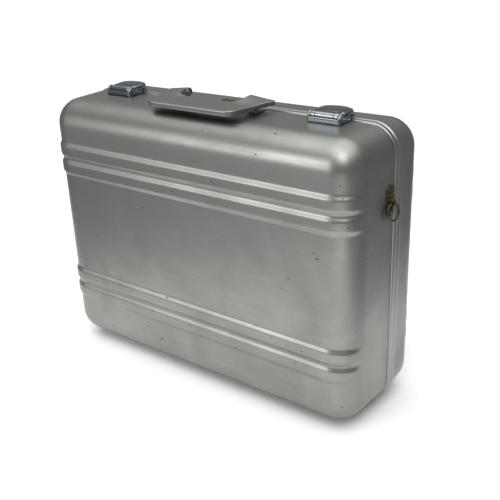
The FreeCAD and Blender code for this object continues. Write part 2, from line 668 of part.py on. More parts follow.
# ---------------------------------------------------------------- the assembly
def assemble():
    """Every node by name, in the local frame."""
    lever = latch_lever()
    hook = latch_hook()
    base = latch_base()
    strike = latch_strike()
    bracket = handle_bracket()
    plate = strap_plate()
    ring = strap_ring()
    shell_start = HALF_SEAM + BAND_WEB + SEAT_GAP
    lining_start = HALF_SEAM + FRAME_DEPTH + LINING_GAP
    nodes = {
        "front_shell": shell(HALF_SEAM, FRONT_DEPTH, RIDGE_END_FRONT),
        "rear_shell": mirror_y(shell(shell_start, REAR_DEPTH, RIDGE_END_REAR)),
        "body_frame": body_frame(),
        "lid_frame": lid_frame(),
        "gasket": gasket(),
        "body_lining": lining(lining_start, FRONT_DEPTH),
        "lid_lining": mirror_y(lining(shell_start + LINING_GAP, REAR_DEPTH)),
        "body_feet": foot(-FOOT_FROM_SEAM, FRONT_FORM),
        "lid_feet": foot(FOOT_FROM_SEAM, REAR_FORM),
        "body_hinge_leaves": body_hinge(),
        "lid_hinge_leaves": lid_hinge(),
        "hinge_pins": hinge_pins(),
        "latch_pins": latch_pins(),
        "handle_grip": handle_grip(),
        "handle_liner": handle_liner(),
        "handle_pins": handle_pins(),
        "handle_springs": handle_springs(),
        "strap_rivets": strap_rivets(),
        "badge_plate": badge_plate(),
    }
    pairs = {"latch_lever": lever, "latch_hook": hook, "latch_base": base, "latch_strike": strike,
             "handle_bracket": bracket, "strap_plate": plate, "strap_ring": ring}
    for name, shape in pairs.items():
        nodes[name + "_right"] = shape
        nodes[name + "_left"] = mirror_x(shape)
    return nodes


def main():
    os.makedirs("parts", exist_ok=True)
    move = Vector(0, PARTING_Y, MID_Z)
    for name, shape in assemble().items():
        shape.translate(move)
        shape.exportStep(os.path.join("parts", name + ".step"))
        box_now = shape.BoundBox
        print(f"{name}: {len(shape.Solids)} solids, {shape.Volume / 1000:.1f} cm3,"
              f" x {box_now.XMin:.1f} {box_now.XMax:.1f}, y {box_now.YMin:.1f} {box_now.YMax:.1f},"
              f" z {box_now.ZMin:.1f} {box_now.ZMax:.1f}, valid {shape.isValid()}")


main()
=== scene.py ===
# %% [markdown]
# # A drawn aluminium suitcase
# This lesson dresses a finished mechanical model of a hard suitcase. The model arrives as a fixed
# frame in metres, with its bodies, nodes and joints. Everything made here is placed from that
# frame, so each surface lands exactly where the mechanism expects it and moves with the right body.
# The first cell loads the frame.

# %% Load the frame
import math
import bpy
import mathutils
import numpy as np
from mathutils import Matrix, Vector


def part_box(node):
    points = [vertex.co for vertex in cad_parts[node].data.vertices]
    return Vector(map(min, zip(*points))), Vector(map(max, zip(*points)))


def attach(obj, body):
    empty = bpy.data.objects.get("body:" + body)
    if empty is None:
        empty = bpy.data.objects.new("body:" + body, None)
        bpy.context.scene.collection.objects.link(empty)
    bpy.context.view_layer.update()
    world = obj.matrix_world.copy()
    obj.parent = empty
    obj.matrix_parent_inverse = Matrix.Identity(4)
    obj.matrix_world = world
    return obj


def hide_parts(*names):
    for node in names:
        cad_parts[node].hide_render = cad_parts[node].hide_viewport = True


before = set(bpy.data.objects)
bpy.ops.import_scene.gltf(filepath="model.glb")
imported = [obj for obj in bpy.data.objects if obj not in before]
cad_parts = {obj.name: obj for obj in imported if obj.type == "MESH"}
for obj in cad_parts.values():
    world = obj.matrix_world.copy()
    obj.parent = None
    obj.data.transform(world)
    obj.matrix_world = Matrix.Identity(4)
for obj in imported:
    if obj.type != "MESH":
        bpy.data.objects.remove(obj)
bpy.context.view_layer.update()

# %% [markdown]
# ## Reading sizes from the frame
# A maker writes the few sizes that a drawing gives and takes the rest from the parts. Here the long
# side, the height and the depths come from the boxes of the two shells, and only the sizes that a
# box can't tell, such as the edge radius, are written as values. Millimetres are easier to read on
# small parts, so one factor turns them into metres.

# %% Driving sizes
MM = 0.001
EDGE_RADIUS = 38.0 * MM
DRAFT = math.tan(math.radians(1.36))
SHEET = 1.6 * MM
SEAM = 1.5 * MM
RIDGE_RISE = 2.75 * MM

front_low, front_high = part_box("front_shell")
rear_low, rear_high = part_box("rear_shell")
gasket_low, gasket_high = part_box("gasket")
GASKET_RECESS = 0.6 * MM
HALF_X = gasket_high.x + GASKET_RECESS
MID_Z = (gasket_low.z + gasket_high.z) / 2
HALF_Z = gasket_high.z + GASKET_RECESS - MID_Z
PARTING_Y = front_high.y + SEAM / 2
FRONT_DEPTH = PARTING_Y - front_low.y - 2.8 * MM
REAR_DEPTH = rear_high.y - PARTING_Y - 2.8 * MM
TOP_Z = MID_Z + HALF_Z
print("half width", round(HALF_X, 4), "half height", round(HALF_Z, 4), "parting", round(PARTING_Y, 4))
print("depths", round(FRONT_DEPTH, 4), round(REAR_DEPTH, 4))

# %% [markdown]
# ## Camera
# A camera is a place, a direction and a lens. The direction is given as an azimuth round the object
# and an elevation above the table, with a small roll, because a hand-held camera is never quite
# level. The place follows from a distance along that direction and two small sideways offsets.

# %% Camera
AZIMUTH = math.radians(38.19)
ELEVATION = math.radians(23.04)
ROLL = math.radians(-2.26)
DISTANCE = 1.1486
LENS_MM = 55.36
SHIFT_RIGHT = 0.0294
SHIFT_DOWN = 0.0232


def camera_axes(azimuth, elevation, roll):
    """Right, up and backward directions: a spherical direction, its level frame, then a roll in it."""
    back = np.array([math.sin(azimuth) * math.cos(elevation),
                     -math.cos(azimuth) * math.cos(elevation),
                     math.sin(elevation)])
    right = np.array([math.cos(azimuth), math.sin(azimuth), 0.0])
    up = np.cross(back, right)
    rolled_right = math.cos(roll) * right + math.sin(roll) * up
    rolled_up = -math.sin(roll) * right + math.cos(roll) * up
    return rolled_right, rolled_up, back


def make_camera():
    right, up, back = camera_axes(AZIMUTH, ELEVATION, ROLL)
    target = np.array([0.0, PARTING_Y, MID_Z])
    place = target + back * DISTANCE + right * SHIFT_RIGHT - up * SHIFT_DOWN
    data = bpy.data.cameras.new("camera")
    data.lens = LENS_MM
    data.sensor_width = 36.0
    data.clip_end = 50.0
    camera = bpy.data.objects.new("camera", data)
    bpy.context.scene.collection.objects.link(camera)
    turn = np.eye(4)
    turn[:3, 0], turn[:3, 1], turn[:3, 2], turn[:3, 3] = right, up, back, place
    camera.matrix_world = mathutils.Matrix(turn.tolist())
    bpy.context.scene.camera = camera
    print("camera at", np.round(place, 3))


make_camera()

# %% [markdown]
# ## Meshes from grids
# Almost every piece here is a surface worked out on a grid: rows of points that share the same
# number of columns. Joining neighbours gives four-sided faces. A grid may close on itself round its
# columns, as a tube does, and its first and last rows may close to a point or a cap. Working in
# whole arrays keeps this quick, and a welded mesh has no open seams.

# %% Grid helpers
def grid_faces(rows, columns, closed, start=0):
    """Quads between neighbours (i, j), (i, j+1), (i+1, j+1), (i+1, j), wrapping round if closed."""
    i = np.arange(rows - 1)[:, None]
    j = np.arange(columns if closed else columns - 1)[None, :]
    nxt = (j + 1) % columns
    quads = np.stack([i * columns + j, i * columns + nxt, (i + 1) * columns + nxt, (i + 1) * columns + j], -1)
    return quads.reshape(-1, 4) + start


def weld(points, faces, digits=7):
    """Points that share a place become one, and faces lose repeated corners and empty faces."""
    _, first, where = np.unique(np.round(points, digits), axis=0, return_index=True, return_inverse=True)
    order = np.argsort(first)
    rank = np.empty_like(order)
    rank[order] = np.arange(len(order))
    where = rank[where.reshape(-1)]
    kept = []
    for face in faces:
        corners = [int(where[k]) for k in face]
        corners = [c for n, c in enumerate(corners) if c != corners[n - 1]]
        if len(set(corners)) >= 3:
            kept.append(corners)
    return points[first[order]], kept


def make_piece(name, points, faces, body, material, replaced=(), smooth_angle=35.0):
    """Object from points in metres and faces, welded, smoothed up to an angle, riding on a body."""
    points, faces = weld(np.asarray(points, float).reshape(-1, 3), faces)
    mesh = bpy.data.meshes.new(name)
    mesh.from_pydata(points.tolist(), [], faces)
    mesh.validate()
    mesh.shade_smooth()
    mesh.set_sharp_from_angle(angle=math.radians(smooth_angle))
    mesh.materials.append(material)
    piece = bpy.data.objects.new(name, mesh)
    bpy.context.scene.collection.objects.link(piece)
    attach(piece, body)
    if replaced:
        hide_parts(*replaced)
    print(name, len(points), "points", len(faces), "faces")
    return piece


def join_parts(parts):
    """Several (points, faces) pairs as one."""
    points, faces, start = [], [], 0
    for some_points, some_faces in parts:
        points.append(np.asarray(some_points, float).reshape(-1, 3))
        faces += [[int(k) + start for k in face] for face in some_faces]
        start += len(points[-1])
    return np.concatenate(points), faces


def flipped(part):
    return part[0], [list(face)[::-1] for face in part[1]]


def mirrored(part, axis=0):
    """The part seen in a mirror across one axis, its faces turned so they still point outwards."""
    points = np.array(part[0], float).reshape(-1, 3)
    points[:, axis] *= -1
    return flipped((points, part[1]))


def lathe(profile, axis_point, direction, steps=48):
    """A (distance along, radius) profile turned about a line: centre + along * axis + radius * circle."""
    profile = np.asarray(profile, float)
    axis = np.asarray(direction, float) / np.linalg.norm(direction)
    side = np.cross(axis, [0.0, 0.0, 1.0] if abs(axis[2]) < 0.9 else [1.0, 0.0, 0.0])
    side /= np.linalg.norm(side)
    other = np.cross(axis, side)
    turn = np.linspace(0, 2 * np.pi, steps, endpoint=False)
    circle = np.cos(turn)[:, None] * side + np.sin(turn)[:, None] * other
    points = (np.asarray(axis_point, float) + profile[:, 0, None, None] * axis
              + profile[:, 1, None, None] * circle[None])
    return points.reshape(-1, 3), grid_faces(len(profile), steps, True)[:, ::-1]


def capped(points, rows, columns):
    """A stack of closed loops with a centre point added at each end, as one closed skin."""
    grid = np.asarray(points, float).reshape(rows, columns, 3)
    first = np.repeat(grid[0].mean(0)[None, None], columns, 1)
    last = np.repeat(grid[-1].mean(0)[None, None], columns, 1)
    full = np.concatenate([first, grid, last])
    return full.reshape(-1, 3), grid_faces(rows + 2, columns, True)


def smoothstep(value):
    """0 below 0, 1 above 1, and 3t^2 - 2t^3 between."""
    t = np.clip(value, 0.0, 1.0)
    return t * t * (3 - 2 * t)


# %% [markdown]
# ## Materials: worn metal from nodes
# A real metal surface is never one colour. Drawn aluminium carries a fine grain from the sheet
# mill, faint clouds where hands and cloth have polished it, hair scratches, and small dark nicks on
# whatever stands proud. Each of these is a noise pattern on the object's own coordinates, at its
# real scale, and drives colour, roughness or bump. One recipe with different numbers gives every
# metal here, so the helper takes those numbers.

# %% Metal recipe
def node_maker(material):
    tree = material.node_tree

    def add(kind, links=None, **values):
        """One shader node: attributes by name, inputs by socket name or number, links by socket."""
        node = tree.nodes.new(kind)
        for key, value in values.items():
            setattr(node, key, value)
        for socket, source in (links or {}).items():
            if isinstance(source, bpy.types.NodeSocket):
                tree.links.new(source, node.inputs[socket])
            else:
                node.inputs[socket].default_value = source
        return node
    return add


def new_material(name):
    material = bpy.data.materials.new(name)
    material.use_nodes = True
    material.node_tree.nodes.clear()
    return material


def ramp(add, source, low, high, low_value, high_value):
    """Linear change from one value to another as the source goes from low to high, held outside."""
    links = {"Value": source, "From Min": low, "From Max": high, "To Min": low_value, "To Max": high_value}
    return add("ShaderNodeMapRange", links, clamp=True).outputs["Result"]


def math_node(add, operation, a, b):
    return add("ShaderNodeMath", {0: a, 1: b}, operation=operation).outputs[0]


def metal(name, color, dark, roughness, grain=(3.0, 260.0, 700.0), grain_depth=0.05, cloud=0.10,
          scratch=0.5, nick=0.5, nick_scale=42.0, pit=0.0, tint_amount=0.35, proud=0.0):
    """Worn metal: stretched noise for grain, large noise for clouds, thin noise bands for scratches,
    sparse Voronoi dashes for nicks, more of them past the proud depth; colour = mix(bright, dark),
    roughness = base + cloud + scratch."""
    material = new_material(name)
    add = node_maker(material)
    place = add("ShaderNodeTexCoord").outputs["Object"]
    stretched = add("ShaderNodeMapping", {"Vector": place, "Scale": grain}).outputs["Vector"]
    lines = add("ShaderNodeTexNoise", {"Vector": stretched, "Scale": 1.0, "Detail": 3.0,
                                       "Roughness": 0.6}).outputs["Fac"]
    clouds = add("ShaderNodeTexNoise", {"Vector": place, "Scale": 9.0, "Detail": 5.0, "Roughness": 0.62,
                                        "Distortion": 0.6}).outputs["Fac"]
    warped = add("ShaderNodeMapping", {"Vector": place, "Scale": (22.0, 22.0, 30.0),
                                       "Rotation": (0.5, 0.9, 0.3)}).outputs["Vector"]
    hair = add("ShaderNodeTexNoise", {"Vector": warped, "Scale": 1.0, "Detail": 2.0, "Distortion": 2.5})
    hair = add("ShaderNodeMath", {0: hair.outputs["Fac"], 1: 0.5}, operation="SUBTRACT").outputs[0]
    hair = add("ShaderNodeMath", {0: hair}, operation="ABSOLUTE").outputs[0]
    hair = ramp(add, hair, 0.0, 0.0022, 1.0, 0.0)
    patches = add("ShaderNodeTexNoise", {"Vector": place, "Scale": 17.0, "Detail": 2.0}).outputs["Fac"]
    hair = math_node(add, "MULTIPLY", hair, ramp(add, patches, 0.52, 0.62, 0.0, 1.0))
    dashes = add("ShaderNodeMapping", {"Vector": place, "Scale": (0.62, 1.0, 1.7),
                                       "Rotation": (0.0, 0.35, 0.0)})
    specks = add("ShaderNodeTexVoronoi", {"Vector": dashes.outputs["Vector"], "Scale": nick_scale,
                                          "Randomness": 1.0})
    ragged = add("ShaderNodeTexNoise", {"Vector": place, "Scale": nick_scale * 9.0,
                                        "Detail": 3.0}).outputs["Fac"]
    reach = math_node(add, "ADD", specks.outputs["Distance"], math_node(add, "MULTIPLY", ragged, 0.22))
    speck = ramp(add, reach, 0.19, 0.26, 1.0, 0.0)
    where = add("ShaderNodeTexNoise", {"Vector": place, "Scale": nick_scale * 0.24,
                                       "Detail": 1.0}).outputs["Fac"]
    if proud:
        depth = add("ShaderNodeSeparateXYZ", {"Vector": place}).outputs["Y"]
        depth = add("ShaderNodeMath", {0: depth, 1: PARTING_Y}, operation="SUBTRACT").outputs[0]
        depth = add("ShaderNodeMath", {0: depth}, operation="ABSOLUTE").outputs[0]
        where = math_node(add, "ADD", where, ramp(add, depth, proud, proud + 1.6 * MM, 0.0, 0.10))
    speck = math_node(add, "MULTIPLY", speck, ramp(add, where, 0.60, 0.66, 0.0, 1.0))
    stain = ramp(add, clouds, 0.32, 0.72, 1.0, 1.0 - cloud)
    streak = ramp(add, lines, 0.3, 0.7, 1.0 + grain_depth, 1.0 - grain_depth)
    shade = math_node(add, "MULTIPLY", stain, streak)
    tone = add("ShaderNodeMix", {"Factor": math_node(add, "MULTIPLY", speck, nick),
                                 "A": (*color, 1.0), "B": (*dark, 1.0)}, data_type="RGBA").outputs["Result"]
    tone = add("ShaderNodeMix", {"Factor": math_node(add, "MULTIPLY", hair, 0.35 * scratch), "A": tone,
                                 "B": (*[min(1.0, c * 1.35) for c in color], 1.0)},
               data_type="RGBA").outputs["Result"]
    grey = add("ShaderNodeCombineColor", {0: shade, 1: shade, 2: shade}).outputs[0]
    tone = add("ShaderNodeMix", {"Factor": 1.0, "A": tone, "B": grey}, data_type="RGBA",
               blend_type="MULTIPLY").outputs["Result"]
    rough = ramp(add, clouds, 0.3, 0.75, roughness - tint_amount * 0.12, roughness + tint_amount * 0.16)
    rough = math_node(add, "ADD", rough, math_node(add, "MULTIPLY", speck, 0.25 * nick))
    rough = math_node(add, "ADD", rough, math_node(add, "MULTIPLY", hair, -0.08 * scratch))
    rough = math_node(add, "ADD", rough, ramp(add, lines, 0.3, 0.7, -0.03, 0.03))
    height = math_node(add, "MULTIPLY", lines, 0.25)
    height = math_node(add, "ADD", height, math_node(add, "MULTIPLY", speck, -1.6 * nick))
    height = math_node(add, "ADD", height, math_node(add, "MULTIPLY", hair, -0.5 * scratch))
    if pit:
        grains = add("ShaderNodeTexNoise", {"Vector": place, "Scale": 900.0, "Detail": 3.0}).outputs["Fac"]
        height = math_node(add, "ADD", height, math_node(add, "MULTIPLY", grains, pit))
    bump = add("ShaderNodeBump", {"Height": height, "Strength": 0.35, "Distance": 0.0002}).outputs["Normal"]
    shader = add("ShaderNodeBsdfPrincipled", {"Base Color": tone, "Roughness": rough, "Metallic": 1.0,
                                              "Normal": bump})
    add("ShaderNodeOutputMaterial", {"Surface": shader.outputs["BSDF"]})
    return material


SATIN = dict(color=(0.300, 0.311, 0.291), dark=(0.07, 0.07, 0.065), roughness=0.40, grain_depth=0.035,
             cloud=0.24, nick=1.0, nick_scale=85.0)
satin = metal("satin_aluminium", proud=FRONT_DEPTH + 0.8 * MM, **SATIN)
satin_rear = metal("satin_aluminium_rear", proud=REAR_DEPTH + 0.8 * MM, **SATIN)
frame_metal = metal("extruded_aluminium", (0.31, 0.32, 0.305), (0.08, 0.08, 0.075), 0.34,
                    grain=(30.0, 30.0, 30.0), grain_depth=0.02, cloud=0.06, nick=0.3)
cast = metal("cast_aluminium", (0.285, 0.29, 0.28), (0.09, 0.09, 0.085), 0.40, grain=(60.0, 60.0, 60.0),
             grain_depth=0.03, pit=0.5, nick_scale=70.0)
chrome = metal("chrome_plate", (0.27, 0.295, 0.32), (0.07, 0.07, 0.07), 0.13, grain=(80.0, 80.0, 80.0),
               grain_depth=0.03, cloud=0.12, nick_scale=120.0, nick=0.4)
steel = metal("plain_steel", (0.22, 0.22, 0.22), (0.10, 0.09, 0.08), 0.38, grain=(60.0, 300.0, 60.0))
brass = metal("aged_brass", (0.15, 0.13, 0.08), (0.04, 0.036, 0.026), 0.33, grain=(90.0, 90.0, 90.0),
              cloud=0.5, nick_scale=160.0, pit=0.35, tint_amount=0.9)
print("metals:", [m.name for m in (satin, satin_rear, frame_metal, cast, chrome, steel, brass)])

# %% [markdown]
# ## Rubber and lining cloth
# Rubber scatters light and carries dust, so it is a dark, rough, non-metallic surface with a fine
# grain. The lining is a plain weave: two sets of waves at right angles, one over the other, give
# the thread pattern, and a soft sheen makes it read as cloth.

# %% Rubber and cloth
def rubber_material():
    """Dark rough surface: fine noise for grain, large noise for dust."""
    material = new_material("black_rubber")
    add = node_maker(material)
    place = add("ShaderNodeTexCoord").outputs["Object"]
    dust = add("ShaderNodeTexNoise", {"Vector": place, "Scale": 60.0, "Detail": 4.0}).outputs["Fac"]
    grain = add("ShaderNodeTexNoise", {"Vector": place, "Scale": 1800.0, "Detail": 2.0}).outputs["Fac"]
    dusty = ramp(add, dust, 0.45, 0.8, 0.0, 0.5)
    tone = add("ShaderNodeMix", {"Factor": dusty, "A": (0.012, 0.012, 0.012, 1),
                                 "B": (0.06, 0.058, 0.054, 1)}, data_type="RGBA").outputs["Result"]
    bump = add("ShaderNodeBump", {"Height": grain, "Strength": 0.4, "Distance": 0.0001}).outputs["Normal"]
    shader = add("ShaderNodeBsdfPrincipled", {"Base Color": tone, "Normal": bump,
                                              "Roughness": ramp(add, dust, 0.3, 0.8, 0.55, 0.85)})
    add("ShaderNodeOutputMaterial", {"Surface": shader.outputs["BSDF"]})
    return material


def cloth_material():
    """Plain weave: warp and weft waves, colour and bump from their product, with a little sheen."""
    material = new_material("lining_cloth")
    add = node_maker(material)
    place = add("ShaderNodeTexCoord").outputs["Object"]
    waves = []
    for direction in ("X", "Z"):
        wave = add("ShaderNodeTexWave", {"Vector": place, "Scale": 420.0, "Distortion": 0.6, "Detail": 1.0},
                   wave_type="BANDS", bands_direction=direction)
        waves.append(wave.outputs["Fac"])
    weave = math_node(add, "MULTIPLY", waves[0], waves[1])
    wear = add("ShaderNodeTexNoise", {"Vector": place, "Scale": 14.0, "Detail": 4.0}).outputs["Fac"]
    half_weave = math_node(add, "MULTIPLY", weave, 0.5)
    half_wear = math_node(add, "MULTIPLY", wear, 0.5)
    fade = math_node(add, "ADD", half_weave, half_wear)
    tone = add("ShaderNodeMix", {"Factor": ramp(add, fade, 0.2, 0.7, 0.0, 1.0), "A": (0.018, 0.02, 0.026, 1),
                                 "B": (0.075, 0.08, 0.095, 1)}, data_type="RGBA").outputs["Result"]
    bump = add("ShaderNodeBump", {"Height": weave, "Strength": 0.5, "Distance": 0.0003}).outputs["Normal"]
    rough = ramp(add, wear, 0.3, 0.7, 0.8, 0.95)
    shader = add("ShaderNodeBsdfPrincipled", {"Base Color": tone, "Roughness": rough,
                                              "Sheen Weight": 0.25, "Normal": bump})
    add("ShaderNodeOutputMaterial", {"Surface": shader.outputs["BSDF"]})
    return material


rubber = rubber_material()
cloth = cloth_material()
print("soft finishes:", rubber.name, cloth.name)

# %% [markdown]
# ## The outline that everything follows
# Seen from the front the case is a rounded rectangle. Any point of its rim is a point of a smaller,
# sharp rectangle plus one edge radius along an outward direction. That pair, anchor and direction,
# is all that the shells, the frames and the seal need: each of them adds its own distance along the
# same direction. The upright sides get close-set points where the pressed ridges cross them.

# %% Outline samples
RIDGE_PITCH = 26.5 * MM
RIDGE_HALF = 13.4 * MM
RIDGE_FLANK = 8.0 * MM
RIDGE_CENTRES = [HALF_Z - 89.0 * MM, 97.0 * MM - HALF_Z]


def upright_samples():
    """Fractions of the anchor's half height: coarse on plain sheet, fine across the ridges."""
    half = HALF_Z - EDGE_RADIUS
    fine = [np.arange(c - RIDGE_PITCH - 2 * MM, c + RIDGE_PITCH + 2.1 * MM, 0.9 * MM) for c in RIDGE_CENTRES]
    coarse = np.linspace(-half, half, 37)
    far = np.all([np.abs(coarse - c) > RIDGE_PITCH + 4 * MM for c in RIDGE_CENTRES], 0)
    return np.sort(np.concatenate(fine + [coarse[far]])) / half


def outline(uprights, columns_x=53, corner_steps=12):
    """Anchor fractions (fx, fz) and outward directions (nx, nz) round the rim, anticlockwise from
    the right side's foot: four straight sides joined by quarter circles about the anchor's corners."""
    across = np.linspace(-1, 1, columns_x)
    turn = np.linspace(0, np.pi / 2, corner_steps + 1)[1:-1]
    sides = [(1, uprights, 0.0), (across[::-1], 1, np.pi / 2), (-1, uprights[::-1], np.pi),
             (across, -1, 1.5 * np.pi)]
    fx, fz, angle = [], [], []
    for side_x, side_z, facing in sides:
        count = max(np.size(side_x), np.size(side_z))
        fx += [np.broadcast_to(side_x, count), np.full(len(turn), np.ravel(side_x)[-1])]
        fz += [np.broadcast_to(side_z, count), np.full(len(turn), np.ravel(side_z)[-1])]
        angle += [np.full(count, facing), facing + turn]
    fx, fz, angle = (np.concatenate(part).astype(float) for part in (fx, fz, angle))
    return fx, fz, np.cos(angle), np.sin(angle)


UPRIGHTS = upright_samples()
rim = outline(UPRIGHTS)
print("rim samples:", len(rim[0]))

# %% [markdown]
# ## The two drawn shells
# A drawn shell starts as a flat sheet that a press pulls over a former. Its walls lean in a little
# so that it leaves the tool, its edges are one generous radius, and its corners come out as parts of
# a ball. Pairs of ridges are pressed across the face to stiffen it; they run round the edges and
# die away on the side walls. It could be a subdivided box, but a formula keeps the radius true and
# the ridges straight: a small tapered box, one radius along the outward direction, and the ridge
# height added along that same direction. The inner skin is the same formula, one sheet thickness in.

# %% Shell surfaces
def ridge_height(z):
    """Two flat-topped ridges to a pair: smooth flanks, height 1 on top and 0 on the plain sheet."""
    total = np.zeros_like(z)
    for centre in RIDGE_CENTRES:
        for side in (-0.5, 0.5):
            away = np.abs(z - centre - side * RIDGE_PITCH)
            crown = 1.0 - 0.12 * np.clip(away / RIDGE_HALF, 0, 1) ** 2
            total = np.maximum(total, crown * smoothstep((RIDGE_HALF - away) / RIDGE_FLANK))
    return total


def drawn_skin(depth, start, inset, fade_angle, fade_run, sign, rise):
    """Anchor box shrinking with depth + (radius - inset) * outward direction + ridge; the direction
    turns from the wall's to the face's over the edge. Rows go from the rim to the face."""
    fx, fz, nx, nz = rim
    lean = math.atan(DRAFT)
    radius = EDGE_RADIUS
    box_depth = depth - radius
    near_edge = np.array([0.0, 1.5, 3, 5, 7, 9, 11, 13, 15.5]) * MM
    wall_start = start - radius * math.sin(lean)
    wall = np.concatenate([np.linspace(wall_start, box_depth - 18 * MM, 5), (box_depth - near_edge)[::-1]])
    edge = np.linspace(lean, np.pi / 2, 17)[1:]
    anchor_depth = np.concatenate([wall, np.full(len(edge), box_depth)])[:, None]
    angle = np.concatenate([np.full(len(wall), lean), edge])[:, None]
    anchor_x = fx * (HALF_X - radius - anchor_depth * DRAFT)
    anchor_z = fz * (HALF_Z - radius - anchor_depth * DRAFT)
    reach = radius - inset
    z_plain = anchor_z + nz * reach * np.cos(angle)
    past_edge = smoothstep(1.0 - (box_depth - anchor_depth) / fade_run)
    on_edge = smoothstep((angle - fade_angle[0]) / max(fade_angle[1] - fade_angle[0], 1e-6))
    reach = reach + rise * ridge_height(z_plain) * past_edge * on_edge
    x = anchor_x + nx * reach * np.cos(angle)
    z = anchor_z + nz * reach * np.cos(angle)
    y = anchor_depth + reach * np.sin(angle)
    grid = np.stack([x, PARTING_Y + sign * y, MID_Z + z], -1)
    half_x = HALF_X - radius - box_depth * DRAFT
    half_z = HALF_Z - radius - box_depth * DRAFT
    face_x, face_z = np.meshgrid(np.linspace(-1, 1, 53) * half_x, UPRIGHTS * half_z)
    face_y = depth - inset + rise * ridge_height(face_z)
    face = np.stack([face_x, PARTING_Y + sign * face_y, MID_Z + face_z], -1)
    return grid, face


def skin_part(grid, face, outward):
    """The band round the case and its face as one part; outward decides which way the faces look."""
    band = (grid.reshape(-1, 3), grid_faces(grid.shape[0], grid.shape[1], True))
    plate = (face.reshape(-1, 3), grid_faces(face.shape[0], face.shape[1], False))
    part = join_parts([band, plate])
    return part if outward else flipped(part)


def two_skins(depth, start, insets, fade_angle, fade_run, sign, rise):
    """Outer skin, inner skin at the second inset, and the narrow rim that joins them at the mouth."""
    outer_grid, outer_face = drawn_skin(depth, start, insets[0], fade_angle, fade_run, sign, rise)
    inner_grid, inner_face = drawn_skin(depth, start, insets[1], fade_angle, fade_run, sign, rise)
    lip = np.stack([inner_grid[0], outer_grid[0]])
    lip_part = (lip.reshape(-1, 3), grid_faces(2, lip.shape[1], True))
    front = sign < 0
    return join_parts([skin_part(outer_grid, outer_face, front), skin_part(inner_grid, inner_face, not front),
                       lip_part if front else flipped(lip_part)])


def drawn_shell(name, node, body, depth, start, fade_angle, fade_run, sign):
    """Both skins of a drawn sheet, one sheet thickness apart, ridges and all."""
    finish = satin if sign < 0 else satin_rear
    parts = two_skins(depth, start, (0.0, SHEET), fade_angle, fade_run, sign, RIDGE_RISE)
    make_piece(name, *parts, body, finish, (node,), smooth_angle=50)


def cloth_liner(name, node, body, depth, start, sign):
    """A smooth moulded liner just inside the sheet, without the ridges."""
    insets = (SHEET + LINER_GAP, SHEET + LINER_GAP + LINER_THICK)
    parts = two_skins(depth, start, insets, (0.0, 1.0), 8 * MM, sign, 0.0)
    make_piece(name, *parts, body, cloth, (node,), smooth_angle=50)


BAND_WIDTH = 19.0 * MM
BAND_WEB = 5.0 * MM
LINER_GAP = 0.2 * MM
LINER_THICK = 1.2 * MM
drawn_shell("front_shell_skin", "front_shell", "body", FRONT_DEPTH, SEAM / 2, (0.1, 0.8), 16 * MM, -1)
drawn_shell("rear_shell_skin", "rear_shell", "lid", REAR_DEPTH, BAND_WEB, (0.25, 1.2), 8 * MM, 1)
cloth_liner("body_liner", "body_lining", "body", FRONT_DEPTH, 16.2 * MM, -1)
cloth_liner("lid_liner", "lid_lining", "lid", REAR_DEPTH, 5.2 * MM, 1)

# %% [markdown]
# ## Extruded frames and the seal
# The rims are stiffened by aluminium extrusions bent round the outline. An extrusion has one
# section all along, so it is made as it is made in life: draw the section once, then carry it round
# the outline. The lid's frame shows two rounded beads with a groove between them and carries the
# tongue; the body's frame has the groove that takes it; a black rubber strip closes the seam.

# %% Sections carried round the outline
frame_rim = outline(np.linspace(-1, 1, 13), 17, 20)


def carried(section, sign):
    """Closed (outward, depth) section, in millimetres, at every rim sample:
    anchor + direction * (radius + outward)."""
    fx, fz, nx, nz = frame_rim
    section = np.asarray(section, float) * MM
    reach = EDGE_RADIUS + section[:, 0, None]
    x = fx * (HALF_X - EDGE_RADIUS) + nx * reach
    z = fz * (HALF_Z - EDGE_RADIUS) + nz * reach
    y = np.broadcast_to(section[:, 1, None], x.shape)
    grid = np.stack([x, PARTING_Y + sign * y, MID_Z + z], -1)
    grid = np.concatenate([grid, grid[:1]])
    return grid.reshape(-1, 3), grid_faces(grid.shape[0], grid.shape[1], True)


def bead(depth_from, depth_to, low, high, steps=14):
    """Rounded bead of an extrusion: low + (high - low) * (1 - |t|^3.2)^(1/2.2) over its width."""
    t = np.linspace(-1, 1, steps)
    rise = (1 - np.abs(t) ** 3.2) ** (1 / 2.2)
    depth = depth_from + (depth_to - depth_from) * (t + 1) / 2
    return np.stack([low + (high - low) * rise, depth], -1)


lid_section = np.concatenate([
    [(-4.1, -2.0), (-4.3, -2.2), (-5.9, -2.2), (-6.1, -2.0), (-6.1, 0.75), (-8.0, 0.75), (-8.0, 4.95),
     (0.05, 4.95), (0.05, 19.0)],
    bead(19.0, 10.4, 0.3, 1.78), bead(9.4, 0.75, 0.3, 1.78), [(-4.1, 0.75)]])
body_section = np.array([(-2.05, 0.75), (-3.2, 0.75), (-3.2, 4.0), (-7.0, 4.0), (-7.0, 0.95), (-7.2, 0.75),
                         (-8.3, 0.75), (-8.5, 0.95), (-8.5, 15.8), (-8.3, 16.0), (-2.05, 16.0)])
seal_turn = np.linspace(0, np.pi, 9)
seal_section = np.concatenate([
    [(-0.6, 0.75)], np.stack([-1.8 + 1.2 * np.cos(seal_turn), -0.05 - 0.38 * np.sin(seal_turn)], -1),
    [(-3.0, 0.75)]])
lid_frame = make_piece("lid_frame_extrusion", *flipped(carried(lid_section, 1)), "lid", frame_metal,
                       ("lid_frame",), smooth_angle=40)
body_frame = make_piece("body_frame_extrusion", *flipped(carried(body_section, -1)), "body", frame_metal,
                        ("body_frame",), smooth_angle=40)
seal = make_piece("seam_seal", *carried(seal_section, -1), "body", rubber, ("gasket",), smooth_angle=40)

